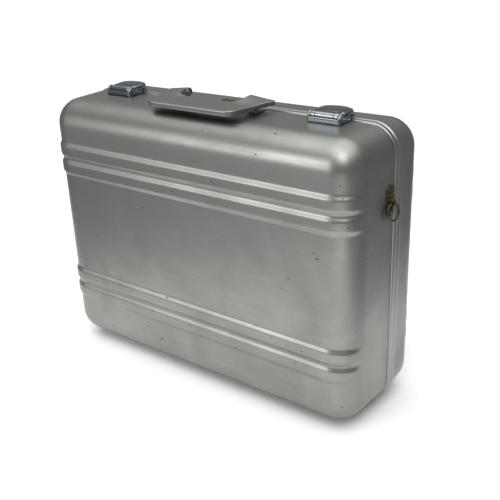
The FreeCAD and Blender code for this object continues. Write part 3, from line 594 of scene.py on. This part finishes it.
# %% [markdown]
# ## Small slabs with crowned tops
# Covers, plates and pads are all the same idea: a closed plan outline, lifted between two heights,
# with its edges rolled over. Moving every point of the outline inwards along its own normal gives
# the rings of the rolled edge, and rings shrinking to the centre carry a gently crowned top. The
# heights may be functions of the place, which gives slopes and crowns.

# %% Slab helper
def plan_normals(outline_points):
    """Unit outward normal of a closed anticlockwise plan: the chord between neighbours, turned by
    -90 degrees."""
    chord = np.roll(outline_points, -1, 0) - np.roll(outline_points, 1, 0)
    normal = np.stack([chord[:, 1], -chord[:, 0]], -1)
    return normal / np.maximum(np.linalg.norm(normal, axis=1, keepdims=True), 1e-9)


def slab(plan, low, high, bevel, under_bevel=0.2, steps=5, rings=(0.8, 0.55, 0.3)):
    """Closed skin over a plan in millimetres: rolled lower edge, wall, rolled upper edge, then rings
    to the centre."""
    plan = np.asarray(plan, float)
    normal = plan_normals(plan)
    low_at = low if callable(low) else lambda p: np.full(len(p), float(low))
    high_at = high if callable(high) else lambda p: np.full(len(p), float(high))
    turn = np.linspace(0, np.pi / 2, steps)
    loops = []
    for a in turn:
        ring = plan - normal * under_bevel * (1 - np.sin(a))
        loops.append(np.column_stack([ring, low_at(ring) + under_bevel * (1 - np.cos(a))]))
    for a in turn:
        ring = plan - normal * bevel * (1 - np.cos(a))
        loops.append(np.column_stack([ring, high_at(ring) - bevel * (1 - np.sin(a))]))
    edge = plan - normal * bevel
    centre = edge.mean(0)
    for share in rings:
        ring = centre + (edge - centre) * share
        loops.append(np.column_stack([ring, high_at(ring)]))
    grid = np.array(loops)
    ends = [np.append(loop[:, :2].mean(0), at(loop[:, :2].mean(0)[None])[0])
            for loop, at in ((grid[0], low_at), (grid[-1], high_at))]
    columns = len(plan)
    full = np.concatenate([np.tile(ends[0], (1, columns, 1)), grid, np.tile(ends[1], (1, columns, 1))])
    return full.reshape(-1, 3), grid_faces(full.shape[0], columns, True)


def rounded_plan(corners, steps=6, between=8):
    """Closed plan through (x, y, radius) corners, anticlockwise: each corner an arc that touches both
    sides, with a few points along each side."""
    count = len(corners)
    out = []
    for k in range(count):
        here = np.array(corners[k][:2], float)
        before = np.array(corners[k - 1][:2], float) - here
        after = np.array(corners[(k + 1) % count][:2], float) - here
        before /= np.linalg.norm(before)
        after /= np.linalg.norm(after)
        half = math.acos(np.clip(before @ after, -1, 1)) / 2
        radius = corners[k][2]
        centre = here + (before + after) / np.linalg.norm(before + after) * radius / math.sin(half)
        start = here + before * radius / math.tan(half) - centre
        stop = here + after * radius / math.tan(half) - centre
        a0 = math.atan2(start[1], start[0])
        sweep = (math.atan2(stop[1], stop[0]) - a0 + np.pi) % (2 * np.pi) - np.pi
        angles = a0 + sweep * np.linspace(0, 1, steps)
        out.append(centre + radius * np.stack([np.cos(angles), np.sin(angles)], -1))
    plan = []
    for k in range(count):
        plan.append(out[k])
        share = np.linspace(0, 1, between + 2)[1:-1, None]
        plan.append(out[k][-1] + (out[(k + 1) % count][0] - out[k][-1]) * share)
    return np.concatenate(plan)


def placed(part, x=0.0, y=0.0, z=0.0):
    """Part in millimetres moved to the case: x from the middle, y from the seam, z above mid height."""
    points = np.asarray(part[0], float) + np.array([x, y, z])
    return points * MM + np.array([0.0, PARTING_Y, MID_Z]), part[1]


TOP = HALF_Z / MM
print("case top above mid height:", round(TOP, 2))

# %% [markdown]
# ## Latches
# Each latch is a pressed and chromed cover that flips up round a pin at its front. The cover has a
# rolled front, straight sides and an arched rear, and a slightly raised field inside a flat border.
# It sits between two cheeks of a base on the body and closes over a keeper on the lid's band. The
# cover is a crowned slab; the roll is a lathe along the pin.

# %% Latch pieces
LATCH_X = 180.5
LATCH_HALF = 24.0
PIVOT_BACK = -21.5
PIVOT_UP = 8.5
LATCH_REAR = 17.5
COVER_INSET = 1.5
NECK_INSET = 3.9
GROOVE_X = 13.5


def cover_plan():
    """Straight narrow front, step out past the cheeks, straight sides, arched rear."""
    side = LATCH_HALF - COVER_INSET
    neck = LATCH_HALF - NECK_INSET
    arch_x = np.linspace(-1, 1, 25)[1:-1]
    rear = LATCH_REAR - 9.5 * np.abs(arch_x) ** 2.3
    front_y, step_y = PIVOT_BACK, -14.6
    right = [(neck * t, front_y) for t in np.linspace(-1, 1, 9)]
    right += [(neck, front_y + (step_y - front_y) * t) for t in (0.25, 0.6, 0.95)]
    right += [(side - 0.3, step_y + 0.4)] + [(side, y) for y in np.linspace(step_y + 1.4, 7.6, 9)]
    arch = list(zip(arch_x[::-1] * side, rear[::-1]))
    left = [(-x, y) for x, y in right[9:][::-1]]
    return np.array(right + arch + left)


def cover_top(place):
    """Height of the cover: a rise from the front, a fall at the rear, a slight crown, a raised field."""
    x, y = place[:, 0], place[:, 1]
    fall = 13.2 + 1.5 * smoothstep((y + 22) / 24) - 0.7 * smoothstep((y - 2) / 16)
    crown = -0.9 * (x / LATCH_HALF) ** 2
    to_rear = LATCH_REAR - y - 9.5 * (np.abs(x) / 22.5) ** 2.3
    border = np.minimum.reduce([LATCH_HALF - COVER_INSET - np.abs(x), y + 18.5, to_rear])
    return fall + crown + 0.55 * smoothstep((border - 3.0) / 1.3) - 0.35


def latch_cover():
    """Crowned plate with a roll along its front, which two grooves divide in three."""
    plate = slab(cover_plan(), 9.5, cover_top, 1.5, 0.3, 6, (0.93, 0.86, 0.8, 0.74, 0.68, 0.5, 0.3, 0.12))
    roll_half = LATCH_HALF - NECK_INSET
    turn = np.linspace(0, np.pi / 2, 5)
    ends = np.stack([roll_half - 0.7 + 0.7 * np.sin(turn), 4.1 + 0.7 * np.cos(turn)], -1)
    groove = np.array([(-0.6, 4.8), (0.0, 4.1), (0.6, 4.8)])
    grooves = np.concatenate([groove + (-GROOVE_X, 0.0), groove + (GROOVE_X, 0.0)])
    profile = np.concatenate([[(-roll_half, 0.0)], ends[::-1] * (-1, 1), grooves, ends, [(roll_half, 0.0)]])
    roll = lathe(profile, (0, PIVOT_BACK, PIVOT_UP), (1, 0, 0), 40)
    return join_parts([plate, roll])


def latch_base():
    """Front wall, floor and two cheeks as one chromed pressing, standing on the body."""
    floor = rounded_plan([(-24, -28.5, 2), (24, -28.5, 2), (24, -1, 0.6), (-24, -1, 0.6)])
    wall = rounded_plan([(-24, -28.5, 2.4), (24, -28.5, 2.4), (24, -26.4, 0.5), (-24, -26.4, 0.5)], 6, 14)
    parts = [slab(floor, -0.2, 1.6, 0.6), slab(wall, 0.0, 6.9, 0.8)]
    for side in (-1, 1):
        plan = rounded_plan([(20.6, -28.5, 0.8), (24, -28.5, 2.2), (24, -1, 0.8), (20.6, -1, 0.8)], 6, 14)

        def cheek_top(p):
            """Round over the pin at the front, then a low straight wall."""
            away = p[:, 1] - PIVOT_BACK
            hoop = PIVOT_UP + np.sqrt(np.clip(4.6 ** 2 - away ** 2, 0, None))
            return np.where(np.abs(away) < 4.6, np.maximum(hoop, 8.5), 8.5)
        cheek = slab(plan, 0.0, cheek_top, 0.7)
        parts.append(cheek if side > 0 else mirrored(cheek))
    return join_parts(parts)


def latch_strike():
    """Keeper on the lid's band: two raised ends beside the hook's channel."""
    parts = []
    rear = lambda x: 18.2 - 9.5 * (x / 23.5) ** 2.3
    plan = np.array([(x, 1.1) for x in np.linspace(11.0, 23.2, 8)]
                    + [(23.4, y) for y in np.linspace(1.6, 8.4, 6)]
                    + [(x, rear(x)) for x in np.linspace(23.0, 11.0, 8)]
                    + [(11.0, y) for y in np.linspace(14.0, 2.0, 5)])
    for side in (-1, 1):
        end = slab(plan, 1.9, 8.4, 0.6)
        parts.append(end if side > 0 else mirrored(end))
    floor = rounded_plan([(-12, 1.1, 0.5), (12, 1.1, 0.5), (12, 15.8, 2), (-12, 15.8, 2)])
    parts.append(slab(floor, 1.9, 3.4, 0.4))
    return join_parts(parts)


def latch_hook():
    """Flat blade under the cover with a nose that hooks over the keeper."""
    blade = slab(rounded_plan([(-9, -15, 2), (9, -15, 2), (9, 12, 1.5), (-9, 12, 1.5)]), 6.8, 9.3, 0.4)
    nose = slab(rounded_plan([(-9, 9, 0.6), (9, 9, 0.6), (9, 12, 0.9), (-9, 12, 0.9)]), 4.8, 7.2, 0.4)
    return join_parts([blade, nose])


LATCH_PARTS = [("latch_cover", "latch_lever", latch_cover(), chrome, "chrome_plate", "lever"),
               ("latch_base_pressing", "latch_base", latch_base(), chrome, "chrome_plate", "body"),
               ("latch_keeper", "latch_strike", latch_strike(), chrome, "chrome_plate", "lid"),
               ("latch_hook_blade", "latch_hook", latch_hook(), steel, "plain_steel", "lever")]
for piece_name, node, part, finish, slot_name, body in LATCH_PARTS:
    for side, sign in (("right", 1), ("left", -1)):
        rider = body + "_" + side if body == "lever" else body
        shape = placed(part, LATCH_X * sign, 0.0, TOP)
        piece = make_piece(piece_name + "_" + side, *shape, rider, finish, (node + "_" + side,), 40)

pin_ends = [(-24.1, 0.0), (-24.1, 1.0), (-23.7, 1.4), (23.7, 1.4), (24.1, 1.0), (24.1, 0.0)]
pin = lathe(pin_ends, (0, PIVOT_BACK, PIVOT_UP), (1, 0, 0), 24)
pins = join_parts([placed(pin, LATCH_X * s, 0, TOP) for s in (1, -1)])
make_piece("latch_pivot_pins", *pins, "body", steel, ("latch_pins",))

# %% [markdown]
# ## Handle
# The handle is a casting: a broad flat grip in front, and an arm at each end that swells up over the
# hinge. Seen from above it is a U, so its section is carried along the U from one tail, round the
# front, to the other tail. At every station the outer and the inner edge are known, and the points
# between them take their height from one function of the place: a flat plate plus the two swellings.

# %% Handle sizes and heights
AXIS_BACK = -10.0
AXIS_UP = TOP + 13.0
BARREL = 7.0
GRIP_FRONT = -79.0
GRIP_TAIL = -4.0
HALF_FRONT, HALF_REAR, HALF_GAP, GAP_START = 73.0, 93.0, 54.5, -33.0


def swelling(x, y):
    """Height of the rise over a hinge: a smooth ramp from the front, a round back, a fall to the side."""
    ramp = smoothstep((y + 50.0) / 36.0)
    back = np.sqrt(np.clip(BARREL ** 2 - np.clip(y - AXIS_BACK, 0, BARREL) ** 2, 0, None)) / BARREL
    side = 1.0 - np.clip((np.abs(x) - HALF_GAP) / (HALF_REAR - HALF_GAP), 0, 1) ** 1.15
    inner = smoothstep((np.abs(x) - 36.0) / 16.0)
    return 5.2 * ramp * side * inner * np.where(y > AXIS_BACK, back, 1.0)


def grip_top(x, y):
    plate = TOP + 13.0 + 2.0 * (y - GRIP_FRONT) / (GRIP_TAIL - GRIP_FRONT)
    return plate + swelling(x, y) - 0.35 * ((y + 56) / 23) ** 2 * smoothstep((-30 - y) / 8)


def grip_under(x, y):
    return TOP + 7.6 + 2.0 * (y - GRIP_FRONT) / (GRIP_TAIL - GRIP_FRONT)


def arc_points(centre, radius, start, stop, count):
    """Points of an arc in the plan, between two angles in degrees."""
    angle = np.radians(np.linspace(start, stop, count))
    return np.stack([centre[0] + radius * np.cos(angle), centre[1] + radius * np.sin(angle)], -1)


def u_edges():
    """Outer and inner edge of the U, with matching stations, from the right tail to the left."""
    lean = math.degrees(math.atan((HALF_REAR - HALF_FRONT) / (GRIP_TAIL - GRIP_FRONT)))
    nose = np.array([HALF_FRONT - 15.0 * math.tan(math.radians(45 - lean / 2)), GRIP_FRONT + 15.0])
    corner_out = arc_points(nose, 15.0, -lean, -90, 14)
    corner_in = arc_points((HALF_GAP - 8.0, GAP_START + 8.0), 8.0, 0, -90, 14)
    tail_out = arc_points((HALF_REAR - 3.4, GRIP_TAIL - 3.0), 3.0, 80, -lean, 6)
    tail_in = np.stack([np.full(6, HALF_GAP), np.linspace(GRIP_TAIL, GRIP_TAIL - 1.2, 6)], -1)
    share = np.linspace(0, 1, 24)[1:-1, None]
    side_out = tail_out[-1] + (corner_out[0] - tail_out[-1]) * share
    side_in = tail_in[-1] + (corner_in[0] - tail_in[-1]) * share
    front = np.linspace(1, 0, 16)[1:, None]
    front_out = np.concatenate([corner_out[-1:, :1] * front, np.full((15, 1), GRIP_FRONT)], 1)
    front_in = np.concatenate([corner_in[-1:, :1] * front, np.full((15, 1), GAP_START)], 1)
    outer = np.concatenate([tail_out, side_out, corner_out, front_out])
    inner = np.concatenate([tail_in, side_in, corner_in, front_in])
    outer[0, 1] = GRIP_TAIL
    flip = np.array([-1.0, 1.0])
    return np.concatenate([outer, outer[-2::-1] * flip]), np.concatenate([inner, inner[-2::-1] * flip])


def band_section(edge_low, edge_high, top_height, under_height, groove=0.0):
    """Closed section across the U at every station: (share across, inset in mm, height function)."""
    outer, inner = u_edges()
    across = inner - outer
    length = np.linalg.norm(across, axis=1, keepdims=True)
    along = across / length
    turn = np.linspace(0, np.pi / 2, 5)
    rows = []

    def row(place, height):
        rows.append(np.column_stack([place, height]))
    for a in turn:
        place = outer + along * edge_low * (1 - np.sin(a))
        row(place, under_height(*place.T) + edge_low * (1 - np.cos(a)))
    if groove:
        for depth, rise in ((0.0, 1.5), (groove, 1.8), (groove, 2.2), (0.0, 2.5)):
            place = outer + along * depth
            row(place, under_height(*place.T) + rise)
    for a in turn:
        place = outer + along * edge_high * (1 - np.cos(a))
        row(place, top_height(*place.T) - edge_high * (1 - np.sin(a)))
    first = outer + along * edge_high
    last = inner - along * edge_high
    for share in np.linspace(0, 1, 22)[1:-1]:
        place = first + (last - first) * share
        row(place, top_height(*place.T))
    for a in turn[::-1]:
        place = inner - along * edge_high * (1 - np.cos(a))
        row(place, top_height(*place.T) - edge_high * (1 - np.sin(a)))
    for a in turn[::-1]:
        place = inner - along * edge_low * (1 - np.sin(a))
        row(place, under_height(*place.T) + edge_low * (1 - np.cos(a)))
    grid = np.array(rows).transpose(1, 0, 2)
    return capped(grid, grid.shape[0], grid.shape[1])


def handle_grip():
    return placed(flipped(band_section(0.5, 1.0, grip_top, grip_under, 0.7)))


def handle_liner():
    """Lower plate of the grip, a little smaller all round."""
    plan = rounded_plan([(-71.9, -77.4, 13.2), (71.9, -77.4, 13.2), (82.6, -36, 3), (-82.6, -36, 3)], 8, 14)
    under = lambda p: grip_under(p[:, 0], p[:, 1]) - 2.2
    return placed(slab(plan, under, lambda p: under(p) + 2.0, 0.5, 0.5))


make_piece("handle_casting", *handle_grip(), "handle", cast, ("handle_grip",), 40)
make_piece("handle_under_plate", *handle_liner(), "handle", cast, ("handle_liner",), 40)

# %% [markdown]
# ## Handle hinges
# Each arm turns on a chromed pin. Its domed head shows at the inner end of the arm, inside a flat black
# ring that is painted shade: it fills the open bore and stands in for the shadow inside it. Below, a small
# steel bracket is riveted to the case, and a coil spring pulls the handle flat. All of these are round,
# so they are lathe turnings and one coil.

# %% Pins, brackets and springs
dome_turn = np.linspace(0, np.pi / 2, 8)
dome = np.stack([HALF_GAP + 0.5 - 1.9 * np.sin(dome_turn[::-1]), 4.1 * np.cos(dome_turn[::-1])], -1)
pin_profile = np.concatenate([dome, [(HALF_GAP + 1.6, 4.1), (HALF_GAP + 1.6, 2.0), (72.0, 2.0), (72.0, 0.0)]])
handle_pin = lathe(pin_profile, (0, AXIS_BACK, AXIS_UP), (1, 0, 0), 40)
# Painted shade: a flat ring in the black rubber finish fills the open bore round each pin head, in place of
# the bore's shadow.
bore_shade_loop = [(HALF_GAP + 0.8, 4.3), (HALF_GAP - 0.25, 4.3), (HALF_GAP - 0.25, 5.7), (HALF_GAP + 0.8, 5.7),
               (HALF_GAP + 0.8, 4.3)]
bore_shade_ring = lathe(bore_shade_loop, (0, AXIS_BACK, AXIS_UP), (1, 0, 0), 40)
rim_turn = np.linspace(0, 2 * np.pi, 13)
rim_ring = np.stack([HALF_GAP - 0.1 + 0.7 * np.cos(rim_turn), 6.2 + 0.7 * np.sin(rim_turn)], -1)
rim_ring = lathe(rim_ring, (0, AXIS_BACK, AXIS_UP), (1, 0, 0), 40)
both = lambda part: placed(join_parts([part, mirrored(part)]))
make_piece("handle_pin_heads", *both(handle_pin), "body", chrome, ("handle_pins",), 40)
# The painted shade ring of the open bore, riding on the handle; it is not a part of the case.
make_piece("handle_bore_rings", *both(bore_shade_ring), "handle", rubber, (), 40)
make_piece("handle_bore_lips", *both(rim_ring), "handle", cast, (), 40)


def bracket():
    """Riveted foot, upright lug and its round eye."""
    foot = slab(rounded_plan([(55.5, -22, 3), (75.5, -22, 3), (75.5, -1.5, 3), (55.5, -1.5, 3)]),
                TOP - 0.3, TOP + 2, 0.5)
    neck = slab(rounded_plan([(58.6, -13.4, 0.6), (64.5, -13.4, 0.6), (64.5, -6.6, 0.6), (58.6, -6.6, 0.6)]),
                TOP + 1, AXIS_UP + 1.0, 0.5)
    eye = lathe([(58.6, 0), (58.6, 4.2), (59.1, 4.7), (64.0, 4.7), (64.5, 4.2), (64.5, 0)],
                (0, AXIS_BACK, AXIS_UP), (1, 0, 0), 32)
    return join_parts([foot, neck, eye])


def coil(radius, wire, start, stop, turns, sides=10):
    """Tube round a helix: centre (t, r cos, r sin), section turned about the axis."""
    t = np.linspace(0, 1, int(turns * 28))[:, None]
    angle = 2 * np.pi * turns * t
    ring = np.linspace(0, 2 * np.pi, sides, endpoint=False)[None]
    reach = radius + wire * np.cos(ring)
    points = np.stack([start + (stop - start) * t + wire * np.sin(ring), AXIS_BACK + reach * np.cos(angle),
                       AXIS_UP + reach * np.sin(angle)], -1)
    return capped(points, points.shape[0], sides)


for side, sign in (("right", 1), ("left", -1)):
    shape = bracket() if sign > 0 else mirrored(bracket())
    piece = make_piece("handle_bracket_steel_" + side, *placed(shape), "body", steel,
                       ("handle_bracket_" + side,), 40)
spring = coil(3.2, 0.45, 65.6, 68.4, 3.0)
make_piece("handle_coil_springs", *both(spring), "body", steel, ("handle_springs",), 50)

# %% [markdown]
# ## Strap plates and rings
# A brass plate with round ends is riveted on each side wall, close to the seam. A bridge pressed out
# of it holds a wire ring, which hangs down and swings out. The plate is a slab standing on its side,
# the rivets are small domes and the ring is a torus.

# %% Brass pieces
SIDE_X = HALF_X / MM
STRAP_BACK = -10.5
WALL_X = SIDE_X + STRAP_BACK * DRAFT
PLATE_X = WALL_X + 1.5
BRIDGE_Z = 103.0
RIVET_HEIGHTS = (117.0, 93.0)
RING_RADIUS = 11.2
RING_WIRE = 1.68


def stood_up(part):
    """A slab lying in the plan stood up on the side wall: (x, y, z) becomes (z, x, y)."""
    return np.asarray(part[0])[:, [2, 0, 1]], part[1]


def strap_plate():
    """Round-ended plate and the half ring of its bridge, swept round a half turn."""
    plan = rounded_plan([(-9, 84, 8.7), (9, 84, 8.7), (9, 126, 8.7), (-9, 126, 8.7)], 12, 8)
    plate = slab(plan, WALL_X - 0.3, PLATE_X, 0.5)
    angle = np.linspace(0, np.pi, 21)
    strip = np.array([(5.6, -2.2), (5.6, 2.2), (5.9, 2.5), (6.4, 2.5),
                      (6.7, 2.2), (6.7, -2.2), (6.4, -2.5), (5.9, -2.5)])
    radius, side = strip[:, 0], strip[:, 1]
    points = np.stack([PLATE_X - 0.3 + radius[None] * np.sin(angle)[:, None], np.tile(side, (len(angle), 1)),
                       BRIDGE_Z + radius[None] * np.cos(angle)[:, None]], -1)
    bridge = capped(points, len(angle), len(strip))
    points, faces = join_parts([stood_up(plate), bridge])
    return points + np.array([0.0, STRAP_BACK, 0.0]), faces


def rivet_heads():
    """Two shallow domes, each a quarter turn of an ellipse turned about the rivet's line."""
    heads = []
    for z in RIVET_HEIGHTS:
        turn = np.linspace(0, np.pi / 2, 7)
        dome = np.stack([PLATE_X + 1.0 + 1.15 * np.sin(turn), 3.0 * np.cos(turn)], -1)
        profile = np.concatenate([[(PLATE_X + 0.05, 0.0), (PLATE_X + 0.05, 3.0)], dome])
        heads.append(lathe(profile, (0, STRAP_BACK, z), (1, 0, 0), 24))
    return join_parts(heads)


def strap_ring():
    """Torus of wire, tilted to lie on the plate and turned a little out of square."""
    tilt, twist = math.radians(-8.0), math.radians(-8.0)
    big = np.linspace(0, 2 * np.pi, 72, endpoint=False)
    small = np.linspace(0, 2 * np.pi, 16, endpoint=False)
    grid = (len(big), len(small), 3)
    reach = RING_RADIUS + RING_WIRE * np.cos(small)[None]
    sideways = np.broadcast_to(RING_WIRE * np.sin(small)[None], grid[:2])
    points = np.stack([sideways, reach * np.cos(big)[:, None],
                       reach * np.sin(big)[:, None] - RING_RADIUS], -1).reshape(-1, 3)
    turn_y = np.array([[math.cos(tilt), 0, math.sin(tilt)], [0, 1, 0], [-math.sin(tilt), 0, math.cos(tilt)]])
    turn_z = np.array([[math.cos(twist), -math.sin(twist), 0],
                       [math.sin(twist), math.cos(twist), 0], [0, 0, 1]])
    points = points @ turn_y.T @ turn_z.T + np.array([WALL_X + 4.2, STRAP_BACK, BRIDGE_Z])
    closed = np.concatenate([points.reshape(grid), points.reshape(grid)[:1]])
    return closed.reshape(-1, 3), grid_faces(len(closed), len(small), True)


for side, sign in (("right", 1), ("left", -1)):
    for name, node, part, body in (("strap_plate_brass", "strap_plate", strap_plate(), "body"),
                                   ("strap_ring_wire", "strap_ring", strap_ring(), "ring_" + side)):
        shape = part if sign > 0 else mirrored(part)
        piece = make_piece(name + "_" + side, *placed(shape), body, brass, (node + "_" + side,), 40)
make_piece("strap_rivet_heads", *both(rivet_heads()), "body", brass, ("strap_rivets",), 40)

# %% [markdown]
# ## Badge, feet and hinges
# A small blank oval badge sits on the lid's band behind the handle. Under the case, four rubber feet
# and two leaf hinges with three knuckles each carry it and let the lid swing down.

# %% Badge, feet and hinges
badge_plan = rounded_plan([(-12, 8, 4.4), (12, 8, 4.4), (12, 17, 4.4), (-12, 17, 4.4)], 12, 8)
badge_top = lambda p: TOP + 3.75 - 0.2 * smoothstep((np.abs(p[:, 1] - 12.5) - 2.6) / 0.5)
badge = slab(badge_plan, TOP + 1.78, badge_top, 0.4, 0.1, 5, (0.85, 0.78, 0.7, 0.4))
make_piece("badge_blank", *placed(badge), "lid", brass, ("badge_plate",), 40)


def feet(y):
    """Turned rubber stud with a rounded tread and a shallow dished end."""
    profile = [(-TOP - 8.0, 0.0), (-TOP - 8.0, 4.0), (-TOP - 7.95, 7.4), (-TOP - 7.6, 8.3),
               (-TOP - 6.8, 8.95),
               (-TOP - 2.0, 9.6), (-TOP - 0.2, 9.9), (-TOP + 1.5, 9.9), (-TOP + 1.5, 0.0)]
    stud = lathe(profile, (185.0, y, 0.0), (0, 0, 1), 48)
    return join_parts([stud, mirrored(stud)])


for name, node, y, body in (("front_rubber_feet", "body_feet", -48.0, "body"),
                            ("rear_rubber_feet", "lid_feet", 48.0, "lid")):
    make_piece(name, *placed(feet(y)), body, rubber, (node,), 40)


def hinge_half(knuckles, y0, y1, under):
    """Leaf with rounded corners, its knuckles and their webs."""
    leaf = rounded_plan([(120.2, y0, 2), (179.8, y0, 2), (179.8, y1, 2), (120.2, y1, 2)])
    parts = [slab(leaf, under, under + 1.9, 0.3)]
    for x0, x1 in knuckles:
        profile = [(x0, 1.06), (x0, 2.0), (x0 + 0.2, 2.2), (x1 - 0.2, 2.2), (x1, 2.0), (x1, 1.06), (x0, 1.06)]
        parts.append(lathe(profile, (0, 0, -TOP - 4.4), (1, 0, 0), 28))
        low, high = (y1 - 0.5, -1.2) if y1 < 0 else (1.2, y0 + 0.5)
        web = rounded_plan([(x0, low, 0.2), (x1, low, 0.2), (x1, high, 0.2), (x0, high, 0.2)])
        parts.append(slab(web, -TOP - 3.1, under + 1.2, 0.1))
    half = join_parts(parts)
    return join_parts([half, mirrored(half)])


front_leaf = hinge_half([(120.2, 139.8), (160.2, 179.8)], -22.0, -3.4, -TOP - 1.2)
rear_leaf = hinge_half([(140.2, 159.8)], 2.6, 18.0, -TOP - 3.0)
hinge_pin = lathe([(120.2, 0), (120.2, 0.9), (120.4, 1.0), (179.6, 1.0), (179.8, 0.9), (179.8, 0)],
                  (0, 0, -TOP - 4.4), (1, 0, 0), 20)
hinge_pins = join_parts([hinge_pin, mirrored(hinge_pin)])
for name, node, part, body in (("front_hinge_leaves", "body_hinge_leaves", front_leaf, "body"),
                               ("rear_hinge_leaves", "lid_hinge_leaves", rear_leaf, "lid"),
                               ("case_hinge_pins", "hinge_pins", hinge_pins, "body")):
    make_piece(name, *placed(part), body, steel, (node,), 40)

# %% [markdown]
# ## The studio
# Bright metal shows its surroundings more than its own colour, so the light is built for the
# reflections: two soft panels overhead and one at the front left, surroundings that are bright above
# and dim at the horizon, and a floor in two tones. The floor is pale where the camera sees it and
# dark to the left and right of that, so the metal has something darker to reflect. It is therefore
# not one plain pale floor. Nothing in the studio is part of the object.

# %% Floor, light and surroundings
DARK_LEFT = ((-0.57, -0.82, 0.0), 0.385)
DARK_RIGHT = ((0.935, 0.354, 0.0), 0.42)
DARK_RUN = 0.25


def make_floor():
    """Pale under and behind the case; darker past two lines on the floor, at its left and right. The
    dot product of a place and a line's direction says how far past that line the place is."""
    size = 30.0
    corners = [(-size, -size, 0), (size, -size, 0), (size, size, 0), (-size, size, 0)]
    mesh = bpy.data.meshes.new("floor")
    mesh.from_pydata(corners, [], [(0, 1, 2, 3)])
    floor = bpy.data.objects.new("floor", mesh)
    bpy.context.scene.collection.objects.link(floor)
    material = new_material("two_tone_floor")
    add = node_maker(material)
    place = add("ShaderNodeTexCoord").outputs["Object"]
    shades = []
    for direction, start in (DARK_LEFT, DARK_RIGHT):
        along = add("ShaderNodeVectorMath", {0: place, 1: direction}, operation="DOT_PRODUCT")
        shades.append(ramp(add, along.outputs["Value"], start, start + DARK_RUN, 0.0, 1.0))
    shade = add("ShaderNodeMath", {0: shades[0], 1: shades[1]}, operation="MAXIMUM").outputs[0]
    tone = add("ShaderNodeMix", {"Factor": shade, "A": (0.95, 0.95, 0.95, 1), "B": (0.20, 0.205, 0.205, 1)},
               data_type="RGBA").outputs["Result"]
    shader = add("ShaderNodeBsdfPrincipled", {"Base Color": tone, "Roughness": 0.9})
    add("ShaderNodeOutputMaterial", {"Surface": shader.outputs["BSDF"]})
    mesh.materials.append(material)


def make_panel(name, place, aim, width, height, power):
    """A rectangular soft light at a place, turned to face another."""
    data = bpy.data.lights.new(name, "AREA")
    data.shape = "RECTANGLE"
    data.size, data.size_y, data.energy = width, height, power
    panel = bpy.data.objects.new(name, data)
    bpy.context.scene.collection.objects.link(panel)
    backward = np.array(place, float) - np.array(aim, float)
    backward /= np.linalg.norm(backward)
    side = np.cross([0.0, 0.0, 1.0] if abs(backward[2]) < 0.99 else [0.0, 1.0, 0.0], backward)
    side /= np.linalg.norm(side)
    turn = np.eye(4)
    turn[:3, 0], turn[:3, 1], turn[:3, 2], turn[:3, 3] = side, np.cross(backward, side), backward, place
    panel.matrix_world = mathutils.Matrix(turn.tolist())


def make_world():
    """Surroundings that are bright overhead and dimmer towards the horizon."""
    world = bpy.data.worlds.new("surroundings")
    world.use_nodes = True
    world.node_tree.nodes.clear()
    add = node_maker(world)
    direction = add("ShaderNodeTexCoord").outputs["Generated"]
    upward = add("ShaderNodeSeparateXYZ", {"Vector": direction}).outputs["Z"]
    level = ramp(add, upward, 0.6, 0.9, 0.27, 2.3)
    background = add("ShaderNodeBackground", {"Color": (1.0, 1.0, 1.0, 1.0), "Strength": level})
    add("ShaderNodeOutputWorld", {"Surface": background.outputs["Background"]})
    bpy.context.scene.world = world
    bpy.context.scene.view_settings.view_transform = "Standard"


make_floor()
make_world()
make_panel("overhead", (-0.1, -0.75, 1.9), (0.0, 0.0, 0.3), 1.5, 0.9, 3.5)
make_panel("overhead_right", (0.85, -0.95, 1.5), (0.1, 0.0, 0.3), 0.7, 0.9, 7.0)
make_panel("front_left", (-0.95, -2.0, 0.85), (0.1, 0.0, 0.25), 1.3, 1.0, 18.0)
print("studio ready")
